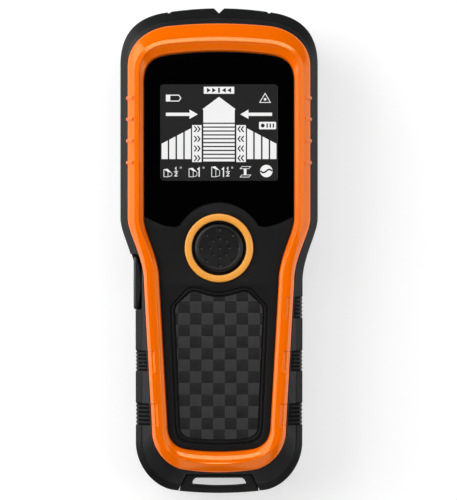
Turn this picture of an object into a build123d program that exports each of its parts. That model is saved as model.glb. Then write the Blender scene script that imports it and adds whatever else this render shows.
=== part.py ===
"""A hand-held stud finder, lying on its back: head at +Y, front face towards +Z.

The origin is the centre of the box's base, under the middle of the glide pads. All sizes are in
millimetres. Two shells and a rubber bumper hold the boards, the display and a 9 volt battery.
"""
from build123d import *
from dataclasses import dataclass
from math import atan2, degrees, pi, radians, tan
import os

# ---------------------------------------------------------------- driving dimensions
LENGTH = 157.0
HEAD_WIDTH = 64.0
GRIP_WIDTH = 54.2
THICKNESS = 31.0
HALF_LENGTH = LENGTH / 2
WAIST_TOP_Y = 10.5
WAIST_FOOT_Y = -10.0
WAIST_TOP_PULL = 5.0
WAIST_FOOT_PULL = 8.0

# Heights, from the surface that the object lies on up to the ridge of the bezel
BACK_Z = 0.6
FLOOR_Z = 3.4
SPLIT_Z = 13.0
SHOULDER_Z = 24.0
PLATE_Z = 25.2
FACE_Z = 27.2
BEZEL_FOOT_Z = 28.2
RIDGE_Z = THICKNESS

# Walls and fits
BUMPER_WALL = 2.2
BUMPER_TOP_WALL = 3.1
SHELL_WALL = 1.8
REAR_WALL = 2.4
GAP = 0.1
SEE_THROUGH = 1.0  # how far a cutting shape runs past the face it opens

# The mode button, on the centre line just above the waist's middle
BUTTON_Y = 0.8
BUTTON_RADIUS = 7.85
BUTTON_TOP_Z = 29.6
RING_OUTER = 11.05
RING_INNER = 8.8

# The display
LCD_Y = 38.05
LCD_VIEW_X = 37.6
LCD_VIEW_Y = 30.9
LCD_GLASS_X = 44.0
LCD_GLASS_Y = 37.4

# The side key, in the left wall
KEY_TOP_Y = -1.8
KEY_FOOT_Y = -19.1
KEY_Y = (KEY_TOP_Y + KEY_FOOT_Y) / 2
KEY_LENGTH = KEY_TOP_Y - KEY_FOOT_Y
KEY_OUTER_X = -27.7
KEY_WALL_X = -24.9
KEY_FOOT_Z = 15.5
KEY_TOP_Z = 24.3
KEY_LEDGE_Z = 20.0  # inside its front edge the key steps down to here
KEY_SPARE = 0.3  # clearance round the key in its opening

# Grip ribs in the side walls, each group with its side and its two ends
RIB_TEETH = 4
RIB_DEPTH = 0.7
RIB_GROUPS = [
    (1, -14.8, -22.0), (1, -32.2, -39.1), (1, -49.2, -56.6), (-1, -32.2, -39.1), (-1, -49.2, -56.6),
]

# Ribs over the bezel at the head
HEAD_RIBS_Y = (49.1, 42.3, 35.3, 28.3)
HEAD_RIB_X = 28.55
HEAD_RIB_Z = 29.2
HEAD_RIB_TILT = 34
HEAD_RIB_RADIUS = 0.55
HEAD_RIB_LENGTH = 3.4

# Notches in the end of the head that mark the middle and both sides: place, half width, depth
MARKS = ((0.0, 1.75, 1.8), (16.2, 1.3, 1.2), (-16.2, 1.3, 1.2))

# The lanyard tab and its slot: the bar in front of the slot bridges a notch in the tail
TAB_HEAD_Y = -72.6
TAB_HEAD_X = 10.4
TAB_FOOT_X = 13.6
TAB_SPARE = 0.35
SLOT_TOP_Y = -73.4
SLOT_FOOT_Y = -76.3
SLOT_TOP_X = 7.0
SLOT_HALF_X = 8.8
BAR_FOOT_Z = 19.0
TONGUE_HALF_X = 6.0
TONGUE_FOOT_Z = 10.6
TONGUE_TOP_Z = 15.4

# The battery: a standard 9 volt block, terminals towards the head
BATTERY_X = 26.5
BATTERY_Y = 46.4
BATTERY_Z = 17.5
BATTERY_FOOT_Y = -68.4
BATTERY_BASE_Z = 3.7
BATTERY_TOP_Y = BATTERY_FOOT_Y + BATTERY_Y
BATTERY_MID_Z = BATTERY_BASE_Z + BATTERY_Z / 2
TERMINAL_X = 6.35
TERMINAL_HEIGHT = 2.1

# The battery door and its hinge
DOOR_HALF_X = 17.0
DOOR_FOOT_Y = -70.0
DOOR_THICK = 1.5
HINGE_Y = -16.2
HINGE_Z = 2.2
HINGE_RADIUS = 1.6
PIN_RADIUS = 0.8
PIN_END_X = 18.8

# Boards: the main one lies over the battery box, the sensor board behind the head
BOARD_THICK = 1.6
MAIN_BOARD_Z = 18.0
MAIN_BOARD_TOP = MAIN_BOARD_Z + BOARD_THICK
SENSOR_BOARD_Z = 4.6
SENSOR_BOARD_TOP = SENSOR_BOARD_Z + BOARD_THICK

# Screws
CASE_SCREWS = [(23.5, 64.0), (-23.5, 64.0), (23.5, 12.5), (-23.5, 12.5), (21.2, -63.0), (-21.2, -63.0)]
BOARD_SCREWS = [(12.0, 63.5), (-12.0, 63.5), (14.0, 8.0), (-14.0, 8.0)]
BEZEL_PEGS = [(26.8, 50.0), (-26.8, 50.0), (26.8, 20.0), (-26.8, 20.0), (20.9, -30.0), (-20.9, -30.0)]


@dataclass
class Outline:
    """The right half of an outline seen from the front, from the head's top to the tail."""

    top: float
    crown: tuple
    head: float
    head_y: float
    corner_pull: tuple
    grip: float
    tail: float
    tail_y: float
    heel_pull: tuple
    toe: tuple
    bottom: float

    def inset(self, amount, top=None, bottom=None):
        """The same outline drawn amount further in, or by other amounts at its two ends."""
        top = amount if top is None else top
        bottom = amount if bottom is None else bottom
        return Outline(
            self.top - top, (self.crown[0], self.crown[1] - top), self.head - amount, self.head_y,
            self.corner_pull, self.grip - amount, self.tail - amount, self.tail_y, self.heel_pull,
            (self.toe[0], self.toe[1] + bottom), self.bottom + bottom,
        )


BODY = Outline(
    top=HALF_LENGTH, crown=(17.4, 77.1), head=HEAD_WIDTH / 2, head_y=60.0, corner_pull=(0.70, 0.57),
    grip=GRIP_WIDTH / 2, tail=27.0, tail_y=-62.0, heel_pull=(0.51, 0.52), toe=(14.5, -77.65),
    bottom=-HALF_LENGTH,
)
BEZEL_OUTER = Outline(
    top=73.2, crown=(15.8, 72.4), head=29.45, head_y=59.5, corner_pull=(0.62, 0.50),
    grip=24.2, tail=21.6, tail_y=-58.0, heel_pull=(0.55, 0.45), toe=(11.5, -70.6), bottom=-71.5,
)
BEZEL_INNER = Outline(
    top=64.1, crown=(15.8, 63.1), head=24.2, head_y=54.0, corner_pull=(0.80, 0.60),
    grip=19.2, tail=16.6, tail_y=-56.0, heel_pull=(0.70, 0.60), toe=(9.5, -64.2), bottom=-64.8,
)
RIDGE_OUTER = Outline(
    top=68.7, crown=(15.8, 67.9), head=27.3, head_y=57.0, corner_pull=(0.70, 0.55),
    grip=23.2, tail=20.6, tail_y=-57.2, heel_pull=(0.60, 0.50), toe=(10.8, -68.2), bottom=-69.1,
)
RIDGE_INNER = Outline(
    top=67.2, crown=(15.8, 66.4), head=25.7, head_y=56.4, corner_pull=(0.72, 0.56),
    grip=20.3, tail=17.7, tail_y=-56.8, heel_pull=(0.62, 0.52), toe=(10.4, -67.0), bottom=-67.8,
)
BEVEL_TOP = BEZEL_OUTER.inset(-0.25)
SEAM = BODY.inset(BUMPER_WALL, top=BUMPER_TOP_WALL)
FRONT_CAVITY = SEAM.inset(SHELL_WALL, bottom=5.8)
REAR_CAVITY = BODY.inset(REAR_WALL, top=4.4, bottom=8.0)


def outline_face(outline, z):
    """The closed face of an outline at height z."""
    with BuildSketch(Plane.XY.offset(z)) as sketch:
        with BuildLine():
            crown = Vector(*outline.crown)
            fall = Vector(outline.crown[0] / 2, outline.crown[1] - outline.top).normalized()
            across = (outline.head - outline.crown[0]) * outline.corner_pull[0]
            down = (outline.crown[1] - outline.head_y) * outline.corner_pull[1]
            drop = (outline.tail_y - outline.toe[1]) * outline.heel_pull[0]
            back = (outline.tail - outline.toe[0]) * outline.heel_pull[1]
            toe = Vector(*outline.toe)
            rise = Vector(outline.toe[0] / 2, outline.toe[1] - outline.bottom).normalized()
            Bezier((0, outline.top), (outline.crown[0] / 2, outline.top), crown)
            Bezier(
                crown, crown + fall * across, (outline.head, outline.head_y + down),
                (outline.head, outline.head_y),
            )
            Line((outline.head, outline.head_y), (outline.head, WAIST_TOP_Y))
            Bezier(
                (outline.head, WAIST_TOP_Y), (outline.head, WAIST_TOP_Y - WAIST_TOP_PULL),
                (outline.grip, WAIST_FOOT_Y + WAIST_FOOT_PULL), (outline.grip, WAIST_FOOT_Y),
            )
            Line((outline.grip, WAIST_FOOT_Y), (outline.tail, outline.tail_y))
            Bezier(
                (outline.tail, outline.tail_y), (outline.tail, outline.tail_y - drop), toe + rise * back, toe,
            )
            Bezier(toe, (outline.toe[0] / 2, outline.bottom), (0, outline.bottom))
            mirror(about=Plane.YZ)
        make_face()
    return sketch.sketch


def slab(outline, low, high, mode=Mode.ADD):
    """A straight-sided slab of an outline, in the part being built."""
    extrude(outline_face(outline, low), amount=high - low, mode=mode)


def slope(lower, low, upper, high, mode=Mode.ADD):
    """A solid with sloping sides from one outline up to another, in the part being built."""
    loft([outline_face(lower, low), outline_face(upper, high)], ruled=True, mode=mode)


def block(low, high, mode=Mode.ADD):
    """A box between two corners, in the part being built."""
    size = [high[i] - low[i] for i in range(3)]
    middle = (Vector(*low) + Vector(*high)) / 2
    with Locations(middle):
        Box(*size, mode=mode)


def rod(x, y, low, high, radius, mode=Mode.ADD):
    """An upright cylinder, in the part being built."""
    with Locations((x, y, (low + high) / 2)):
        Cylinder(radius, high - low, mode=mode)


def front_body():
    """The whole front of the body, without its hollow, before it is shared between its pieces."""
    with BuildPart() as whole:
        slab(BODY, SPLIT_Z, SHOULDER_Z)
        slope(BODY, SHOULDER_Z, BEVEL_TOP, FACE_Z)
    return whole.part


def rib_comb(side, y_top, y_foot):
    """The cutter for one group of grip ribs in a side wall: a row of teeth and sloping ends."""
    wall = GRIP_WIDTH / 2
    pitch = (y_top - y_foot) / (RIB_TEETH + 1)
    points = [(wall + SEE_THROUGH, y_top), (wall, y_top)]
    for tooth in range(RIB_TEETH):
        valley = y_top - pitch * (tooth + 0.5)
        points.append((wall - RIB_DEPTH, valley))
        points.append((wall - GAP, valley - pitch / 2))
    points.append((wall - RIB_DEPTH, y_top - pitch * (RIB_TEETH + 0.5)))
    points.append((wall, y_foot))
    points.append((wall + SEE_THROUGH, y_foot))
    with BuildSketch(Plane.XY.offset(SPLIT_Z + 1.0)) as sketch:
        with BuildLine():
            Polyline([(side * x, y) for x, y in points], close=True)
        make_face()
    return sketch.sketch


def notch_face(x, half_width, depth):
    """A V-shaped marking notch in the end of the head."""
    edge = HALF_LENGTH + SEE_THROUGH
    bottom_y = HALF_LENGTH - depth - 0.016 * abs(x) ** 1.35
    widen = half_width * (edge - bottom_y) / depth
    with BuildSketch(Plane.XY.offset(BACK_Z - SEE_THROUGH)) as sketch:
        with BuildLine():
            Polyline((x - widen, edge), (x, bottom_y), (x + widen, edge), close=True)
        make_face()
    return sketch.sketch


def cut_marks():
    """The centre and side marks in the end of the head, in the part being built."""
    for x, half_width, depth in MARKS:
        extrude(notch_face(x, half_width, depth), amount=THICKNESS, mode=Mode.SUBTRACT)


def tab_face(z, spare=0.0):
    """The outline of the lanyard tab, let into the tail."""
    with BuildSketch(Plane.XY.offset(z)) as sketch:
        with BuildLine():
            Polyline(
                (-TAB_FOOT_X - spare, -HALF_LENGTH - SEE_THROUGH), (-TAB_HEAD_X - spare, TAB_HEAD_Y + spare),
                (TAB_HEAD_X + spare, TAB_HEAD_Y + spare), (TAB_FOOT_X + spare, -HALF_LENGTH - SEE_THROUGH),
                close=True,
            )
        make_face()
    return sketch.sketch


def cut_tab_seat():
    """The seat of the lanyard tab through the tail, in the part being built."""
    extrude(tab_face(-SEE_THROUGH, spare=TAB_SPARE), amount=THICKNESS + SEE_THROUGH, mode=Mode.SUBTRACT)


def inlay_face(z, grow=0.0):
    """The outline of the grip inlay, grown by an amount all round: a dipped top and cut upper corners."""
    shoulder = (8.7 + grow / 2, -13.4 + grow)
    cut_start = (10.6 + grow / 2, -14.3 + grow)
    cut_end = (13.2 + grow, -17.5)
    side_top = (14.1 + grow, -19.8)
    side_foot = (12.5 + grow, -57.4)
    foot = (0, -60.7 - grow)
    with BuildSketch(Plane.XY.offset(z)) as sketch:
        with BuildLine():
            Bezier((0, -15.0 + grow), (4.4, -15.0 + grow), shoulder)
            Bezier(shoulder, (9.8 + grow / 2, -13.4 + grow), cut_start)
            Line(cut_start, cut_end)
            Bezier(cut_end, (side_top[0], -18.6), side_top)
            Line(side_top, side_foot)
            Bezier(side_foot, (side_foot[0] - 0.1, foot[1] + 0.2), (9.0, foot[1]), foot)
            mirror(about=Plane.YZ)
        make_face()
    return sketch.sketch


def window_cutter(z, gap):
    """The region below the display window: a hump over the button between two gentle shoulders."""
    reach = HEAD_WIDTH
    hump = 14.55 + gap
    foot = 12.6
    foot_y = BUTTON_Y + (hump ** 2 - foot ** 2) ** 0.5
    dip = (18.5, 8.3 + gap)
    shoulder = (26.0, 11.6 + gap)
    with BuildSketch(Plane.XY.offset(z)) as sketch:
        with BuildLine():
            CenterArc((0, BUTTON_Y), hump, start_angle=degrees(atan2(foot_y - BUTTON_Y, foot)),
                      arc_size=90 - degrees(atan2(foot_y - BUTTON_Y, foot)))
            Bezier((foot, foot_y), (13.6, foot_y - 0.9), (15.5, 7.3 + gap), dip)
            Bezier(dip, (21.0, 9.3 + gap), (23.0, 10.6 + gap), shoulder)
            Polyline(shoulder, (reach, shoulder[1]), (reach, -reach * 2), (0, -reach * 2))
            mirror(about=Plane.YZ)
        make_face()
    return sketch.sketch


def save(piece, label):
    """Name a finished piece and write it to its own file."""
    piece.part.label = label
    export_step(piece.part, f"parts/{label}.step")


os.makedirs("parts", exist_ok=True)

# ---------------------------------------------------------------- shells and bumper
BOSS_RADIUS = 3.25
SCREW_HEAD_RADIUS = 2.7
SCREW_HEAD_Z = 2.4
SCREW_SEAT_Z = 4.2
SCREW_RADIUS = 1.25
BOX_HALF_X = 13.65
BOX_WALL = 1.4
BOX_TOP_Z = 21.5
BOX_HEAD_Y = -14.5
BOX_FOOT_WALL = 0.8
BOX_FOOT_Y = -68.9
DOOR_OPENING_X = 14.2
DOOR_SPARE = 0.2
HINGE_BOSS_X = (15.2, 19.6)
HINGE_BOSS_Y = (-18.6, -13.6)
HINGE_BOSS_TOP_Z = 5.0
EDGE_RADIUS = 3.6
PAD_SEAT_Z = 1.0
# Glide pads in the back: middle in X and Y, width, length
PAD_STRIPS = [
    (23.8, 43.5, 5.0, 36.0), (-23.8, 43.5, 5.0, 36.0),
    (20.9, -41.0, 3.4, 34.0), (-20.9, -41.0, 3.4, 34.0),
]

with BuildPart() as battery_box:
    block((-BOX_HALF_X - BOX_WALL, BOX_FOOT_Y - BOX_FOOT_WALL, FLOOR_Z - GAP),
          (BOX_HALF_X + BOX_WALL, BOX_HEAD_Y, BOX_TOP_Z + 1.2))
    chamfer(battery_box.edges().filter_by(Axis.Z).group_by(Axis.Y)[0], length=1.6)

with BuildPart() as rear_shell:
    slab(BODY, BACK_Z, SPLIT_Z)
    fillet(rear_shell.edges().group_by(Axis.Z)[0], radius=EDGE_RADIUS)
    slab(REAR_CAVITY, FLOOR_Z, SPLIT_Z + SEE_THROUGH, mode=Mode.SUBTRACT)
    for x, y in CASE_SCREWS:
        rod(x, y, FLOOR_Z - GAP, SPLIT_Z - GAP, BOSS_RADIUS)
        rod(x, y, BACK_Z - SEE_THROUGH, SCREW_SEAT_Z, SCREW_HEAD_RADIUS + 0.3, mode=Mode.SUBTRACT)
        rod(x, y, SCREW_SEAT_Z, SPLIT_Z, SCREW_RADIUS + 0.2, mode=Mode.SUBTRACT)
    # Posts that the sensor board stands on
    for x in (-12.0, 12.0):
        for y in (16.0, 66.0):
            rod(x, y, FLOOR_Z - GAP, SENSOR_BOARD_Z, 2.5)
    # The battery box: two long walls and a foot wall, open at the head end for the contacts
    add(battery_box.part)
    block(
        (-BOX_HALF_X, BOX_FOOT_Y, FLOOR_Z - SEE_THROUGH),
        (BOX_HALF_X, BOX_HEAD_Y + SEE_THROUGH, BOX_TOP_Z), mode=Mode.SUBTRACT,
    )
    # Bosses round the hinge pins
    for left, right in ((-HINGE_BOSS_X[1], -HINGE_BOSS_X[0]), HINGE_BOSS_X):
        block((left, HINGE_BOSS_Y[0], FLOOR_Z - GAP), (right, HINGE_BOSS_Y[1], HINGE_BOSS_TOP_Z))
    # The door's rebate, the opening behind it and the room for its hinge barrel
    block(
        (-DOOR_HALF_X - DOOR_SPARE, DOOR_FOOT_Y - DOOR_SPARE, -SEE_THROUGH),
        (DOOR_HALF_X + DOOR_SPARE, HINGE_Y, BACK_Z + DOOR_THICK + GAP), mode=Mode.SUBTRACT,
    )
    block(
        (-DOOR_OPENING_X, BOX_FOOT_Y, -SEE_THROUGH), (DOOR_OPENING_X, HINGE_Y, FLOOR_Z + GAP),
        mode=Mode.SUBTRACT,
    )
    block(
        (-DOOR_HALF_X - DOOR_SPARE, HINGE_Y - 2.4, -SEE_THROUGH),
        (DOOR_HALF_X + DOOR_SPARE, HINGE_Y + 1.9, 4.2), mode=Mode.SUBTRACT,
    )
    with Locations(Location((0, HINGE_Y, HINGE_Z), (0, 90, 0))):
        Cylinder(PIN_RADIUS + 0.05, 2 * PIN_END_X + 0.4, mode=Mode.SUBTRACT)
    # A finger dip at the foot of the door
    with Locations((0, DOOR_FOOT_Y - 1.2, -4.4)):
        Sphere(6.2, mode=Mode.SUBTRACT)
    # Seats for the glide pads
    for x, y, width, length in PAD_STRIPS:
        with Locations((x, y, PAD_SEAT_Z / 2)):
            Box(width + 0.2, length + 0.2, PAD_SEAT_Z, mode=Mode.SUBTRACT)
    cut_marks()
    cut_tab_seat()
    # The slot in the tail wall for the lanyard tab's tongue
    block(
        (-TONGUE_HALF_X - 0.2, -73.5, TONGUE_FOOT_Z - 0.2),
        (TONGUE_HALF_X + 0.2, -70.2, SPLIT_Z + SEE_THROUGH),
        mode=Mode.SUBTRACT,
    )
save(rear_shell, "rear_shell")

with BuildPart() as front_shell:
    add(front_body())
    slab(SEAM, SPLIT_Z - SEE_THROUGH, FACE_Z + SEE_THROUGH, mode=Mode.INTERSECT)
    slab(FRONT_CAVITY, SPLIT_Z - SEE_THROUGH, PLATE_Z, mode=Mode.SUBTRACT)
    for x, y in CASE_SCREWS:
        rod(x, y, SPLIT_Z, PLATE_Z + GAP, BOSS_RADIUS - 0.25)
        rod(x, y, SPLIT_Z - SEE_THROUGH, SPLIT_Z + 8.5, SCREW_RADIUS + 0.05, mode=Mode.SUBTRACT)
    for x, y in BOARD_SCREWS:
        rod(x, y, MAIN_BOARD_TOP, PLATE_Z + GAP, 2.4)
        rod(x, y, MAIN_BOARD_TOP - SEE_THROUGH, PLATE_Z, 0.9, mode=Mode.SUBTRACT)
    for x, y in BEZEL_PEGS:
        rod(x, y, PLATE_Z, FACE_Z + SEE_THROUGH, 1.1, mode=Mode.SUBTRACT)
    # The opening for the display and the hole for the mode button
    with Locations((0, LCD_Y, (PLATE_Z + FACE_Z) / 2)):
        Box(LCD_VIEW_X + 2.0, LCD_VIEW_Y + 2.0, FACE_Z - PLATE_Z + 2 * SEE_THROUGH, mode=Mode.SUBTRACT)
    rod(0, BUTTON_Y, PLATE_Z - SEE_THROUGH, FACE_Z + SEE_THROUGH, BUTTON_RADIUS + 0.35, mode=Mode.SUBTRACT)
    # The side key's way through the wall, open towards the front outside the bezel
    block(
        (-HEAD_WIDTH, KEY_FOOT_Y - KEY_SPARE, KEY_FOOT_Z - KEY_SPARE),
        (-22.0, KEY_TOP_Y + KEY_SPARE, KEY_TOP_Z + KEY_SPARE), mode=Mode.SUBTRACT,
    )
    block(
        (-HEAD_WIDTH, KEY_FOOT_Y - KEY_SPARE, KEY_FOOT_Z - KEY_SPARE),
        (KEY_WALL_X, KEY_TOP_Y + KEY_SPARE, THICKNESS), mode=Mode.SUBTRACT,
    )
    cut_tab_seat()
    block(
        (-TONGUE_HALF_X - 0.2, -73.5, SPLIT_Z - SEE_THROUGH),
        (TONGUE_HALF_X + 0.2, -70.0, TONGUE_TOP_Z + 0.2),
        mode=Mode.SUBTRACT,
    )
save(front_shell, "front_shell")

with BuildPart() as rubber_bumper:
    add(front_body())
    slab(SEAM, SPLIT_Z - SEE_THROUGH, FACE_Z + SEE_THROUGH, mode=Mode.SUBTRACT)
    for side, y_top, y_foot in RIB_GROUPS:
        extrude(rib_comb(side, y_top, y_foot), amount=THICKNESS, mode=Mode.SUBTRACT)
    block(
        (-HEAD_WIDTH, KEY_FOOT_Y - KEY_SPARE, KEY_FOOT_Z - KEY_SPARE), (0, KEY_TOP_Y + KEY_SPARE, THICKNESS),
        mode=Mode.SUBTRACT,
    )
    cut_marks()
    cut_tab_seat()
save(rubber_bumper, "rubber_bumper")

# ---------------------------------------------------------------- lanyard tab
with BuildPart() as lanyard_tab:
    slab(BODY, BACK_Z, SHOULDER_Z)
    fillet(lanyard_tab.edges().group_by(Axis.Z)[0], radius=EDGE_RADIUS)
    slope(BODY, SHOULDER_Z, BEVEL_TOP, FACE_Z)
    extrude(tab_face(-SEE_THROUGH), amount=THICKNESS + SEE_THROUGH, mode=Mode.INTERSECT)
    with BuildSketch(Plane.XY.offset(-SEE_THROUGH)):
        with BuildLine():
            Line((0, SLOT_TOP_Y), (SLOT_TOP_X, SLOT_TOP_Y))
            Bezier(
                (SLOT_TOP_X, SLOT_TOP_Y), (SLOT_TOP_X + 1.2, SLOT_TOP_Y), (SLOT_HALF_X, -75.0),
                (SLOT_HALF_X, SLOT_FOOT_Y + 0.5),
            )
            Bezier((SLOT_HALF_X, SLOT_FOOT_Y + 0.5), (SLOT_HALF_X / 2, SLOT_FOOT_Y), (0, SLOT_FOOT_Y))
            mirror(about=Plane.YZ)
        make_face()
    extrude(amount=THICKNESS + 2 * SEE_THROUGH, mode=Mode.SUBTRACT)
    # The notch behind the bar, open to the back and the end
    block(
        (-SLOT_HALF_X, -HALF_LENGTH - SEE_THROUGH, -SEE_THROUGH), (SLOT_HALF_X, SLOT_TOP_Y, BAR_FOOT_Z),
        mode=Mode.SUBTRACT,
    )
    block((-TONGUE_HALF_X, -73.2, TONGUE_FOOT_Z), (TONGUE_HALF_X, -70.7, TONGUE_TOP_Z))
save(lanyard_tab, "lanyard_tab")

# ---------------------------------------------------------------- bezel, window and front panel
PANEL_Z = FACE_Z + 1.0
INLAY_SEAT_Z = FACE_Z + 0.5
GROOVE_Z = FACE_Z + 0.65
GASKET_THICK = 0.2

with BuildPart() as orange_bezel:
    slab(BEZEL_OUTER, FACE_Z, BEZEL_FOOT_Z)
    slope(BEZEL_OUTER, BEZEL_FOOT_Z, RIDGE_OUTER, RIDGE_Z)
    slab(BEZEL_INNER, FACE_Z - SEE_THROUGH, BEZEL_FOOT_Z, mode=Mode.SUBTRACT)
    slope(BEZEL_INNER, BEZEL_FOOT_Z, RIDGE_INNER, RIDGE_Z, mode=Mode.SUBTRACT)
    for x, y in BEZEL_PEGS:
        rod(x, y, PLATE_Z + 0.2, FACE_Z + GAP, 1.0)
    # Raised ribs across the outer slope of the head
    for side in (-1, 1):
        for y in HEAD_RIBS_Y:
            with Locations(Location((side * HEAD_RIB_X, y, HEAD_RIB_Z), (0, -side * HEAD_RIB_TILT, 0))):
                Cylinder(HEAD_RIB_RADIUS, HEAD_RIB_LENGTH)
save(orange_bezel, "orange_bezel")

with BuildPart() as window_gasket:
    slab(BEZEL_INNER.inset(0.6), FACE_Z, FACE_Z + GASKET_THICK)
    extrude(window_cutter(FACE_Z - SEE_THROUGH, 0.8), amount=3.0, mode=Mode.SUBTRACT)
    with Locations((0, LCD_Y, FACE_Z)):
        Box(LCD_VIEW_X + 2.0, LCD_VIEW_Y + 2.0, 2.0, mode=Mode.SUBTRACT)
save(window_gasket, "window_gasket")

with BuildPart() as display_window:
    slab(BEZEL_INNER.inset(GAP), FACE_Z + GASKET_THICK, FACE_Z + 1.4)
    extrude(window_cutter(FACE_Z - SEE_THROUGH, 0.15), amount=4.0, mode=Mode.SUBTRACT)
save(display_window, "display_window")

with BuildPart() as front_panel:
    slab(BEZEL_INNER.inset(GAP), FACE_Z, PANEL_Z)
    extrude(window_cutter(FACE_Z - SEE_THROUGH, -0.05), amount=4.0, mode=Mode.INTERSECT)
    rod(0, BUTTON_Y, FACE_Z - SEE_THROUGH, FACE_Z + 2.0, RING_OUTER + GAP, mode=Mode.SUBTRACT)
    extrude(inlay_face(INLAY_SEAT_Z, grow=0.3), amount=SEE_THROUGH, mode=Mode.SUBTRACT)
    # The fine groove round the inlay
    with BuildSketch(Plane.XY.offset(GROOVE_Z)):
        add(inlay_face(GROOVE_Z, grow=1.75))
        add(inlay_face(GROOVE_Z, grow=1.3), mode=Mode.SUBTRACT)
    extrude(amount=SEE_THROUGH, mode=Mode.SUBTRACT)
save(front_panel, "front_panel")

with BuildPart() as grip_inlay:
    extrude(inlay_face(INLAY_SEAT_Z), amount=PANEL_Z - INLAY_SEAT_Z)
    extrude(inlay_face(PANEL_Z, grow=-0.2), amount=0.2)
save(grip_inlay, "grip_inlay")

with BuildPart() as button_ring:
    rod(0, BUTTON_Y, FACE_Z, FACE_Z + 2.2, RING_OUTER)
    rod(0, BUTTON_Y, FACE_Z - SEE_THROUGH, FACE_Z + 4.0, RING_INNER, mode=Mode.SUBTRACT)
    fillet(button_ring.edges().group_by(Axis.Z)[-1], radius=0.9)
save(button_ring, "button_ring")

# ---------------------------------------------------------------- mode button and its switch
FLANGE_TOP_Z = PLATE_Z - 0.2
FLANGE_FOOT_Z = FLANGE_TOP_Z - 0.8
STEM_FOOT_Z = 24.0

with BuildPart() as mode_button:
    rod(0, BUTTON_Y, FLANGE_FOOT_Z, FLANGE_TOP_Z, 9.5)
    rod(0, BUTTON_Y, FLANGE_FOOT_Z, BUTTON_TOP_Z, BUTTON_RADIUS)
    fillet(mode_button.edges().group_by(Axis.Z)[-1], radius=0.7)
    rod(0, BUTTON_Y, STEM_FOOT_Z, FLANGE_TOP_Z, 2.0)
    # Grip dimples: one in the middle and two rings of eight
    with Locations((0, BUTTON_Y, BUTTON_TOP_Z + 0.35)):
        Sphere(0.75, mode=Mode.SUBTRACT)
        for ring_radius in (3.05, 5.9):
            with PolarLocations(ring_radius, 8):
                Sphere(0.75, mode=Mode.SUBTRACT)
save(mode_button, "mode_button")

with BuildPart() as mode_switch_base:
    block((-3.0, BUTTON_Y - 3.0, MAIN_BOARD_TOP), (3.0, BUTTON_Y + 3.0, 23.0))
    rod(0, BUTTON_Y, 20.9, 23.0 + SEE_THROUGH, 1.8, mode=Mode.SUBTRACT)
save(mode_switch_base, "mode_switch_base")

with BuildPart() as mode_switch_plunger:
    rod(0, BUTTON_Y, 21.9, STEM_FOOT_Z, 1.7)
save(mode_switch_plunger, "mode_switch_plunger")

# ---------------------------------------------------------------- side key and its switch
KEY_MID_Z = (KEY_FOOT_Z + KEY_TOP_Z) / 2
FLANGE_X = FRONT_CAVITY.grip
NUB_X = -20.8
NUB_Z = 21.4

with BuildPart() as side_key:
    with BuildSketch(Plane.YZ.offset(KEY_OUTER_X)):
        with Locations((KEY_Y, KEY_MID_Z)):
            RectangleRounded(KEY_LENGTH, KEY_TOP_Z - KEY_FOOT_Z, 1.2)
    extrude(amount=-FLANGE_X + 0.2 - KEY_OUTER_X)
    fillet(side_key.edges().group_by(Axis.X)[0], radius=0.8)
    # A dark groove shows beside the key: its front edge draws back from the wall, most at both ends
    with BuildSketch(Plane.XY.offset(KEY_LEDGE_Z)):
        with BuildLine():
            edge = Spline(
                (-27.1, KEY_TOP_Y + 0.2), (-25.75, KEY_TOP_Y - 4.0), (-25.65, KEY_FOOT_Y + 4.5),
                (-26.5, KEY_FOOT_Y - 0.2),
            )
            Polyline(
                edge @ 1, (KEY_WALL_X + 0.3, KEY_FOOT_Y - 0.2), (KEY_WALL_X + 0.3, KEY_TOP_Y + 0.2), edge @ 0,
            )
        make_face()
    extrude(amount=THICKNESS, mode=Mode.SUBTRACT)
    block(
        (-FLANGE_X + 0.2, KEY_FOOT_Y - 0.8, KEY_FOOT_Z - 0.8),
        (-FLANGE_X + 1.2, KEY_TOP_Y + 0.8, KEY_TOP_Z + 0.5),
    )
    block((-FLANGE_X + 1.2, KEY_Y - 1.5, NUB_Z - 1.2), (NUB_X, KEY_Y + 1.5, NUB_Z + 1.2))
save(side_key, "side_key")

with BuildPart() as side_switch_base:
    block((-18.6, KEY_Y - 3.0, MAIN_BOARD_TOP), (-14.6, KEY_Y + 3.0, 23.2))
    with Locations(Location((-17.4, KEY_Y, NUB_Z), (0, 90, 0))):
        Cylinder(1.3, 2.4, mode=Mode.SUBTRACT)
save(side_switch_base, "side_switch_base")

with BuildPart() as side_switch_plunger:
    with Locations(Location(((NUB_X - 17.4) / 2, KEY_Y, NUB_Z), (0, 90, 0))):
        Cylinder(1.2, -17.4 - NUB_X)
save(side_switch_plunger, "side_switch_plunger")

# ---------------------------------------------------------------- display
with BuildPart() as lcd_holder:
    block((-24.0, LCD_Y - 20.5, MAIN_BOARD_TOP), (24.0, LCD_Y + 20.5, PLATE_Z - GAP))
    block(
        (-22.2, LCD_Y - 18.9, MAIN_BOARD_TOP - SEE_THROUGH), (22.2, LCD_Y + 18.9, PLATE_Z + SEE_THROUGH),
        mode=Mode.SUBTRACT,
    )
save(lcd_holder, "lcd_holder")

with BuildPart() as lcd_backlight:
    block((-LCD_GLASS_X / 2, LCD_Y - 16.0, 20.0), (LCD_GLASS_X / 2, LCD_Y + LCD_GLASS_Y / 2, 22.4))
    chamfer(lcd_backlight.edges().filter_by(Axis.Z), length=0.6)
save(lcd_backlight, "lcd_backlight")

with BuildPart() as lcd_contact_strip:
    block((-20.0, LCD_Y - 18.6, MAIN_BOARD_TOP), (20.0, LCD_Y - 16.6, 22.5))
save(lcd_contact_strip, "lcd_contact_strip")

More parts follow.
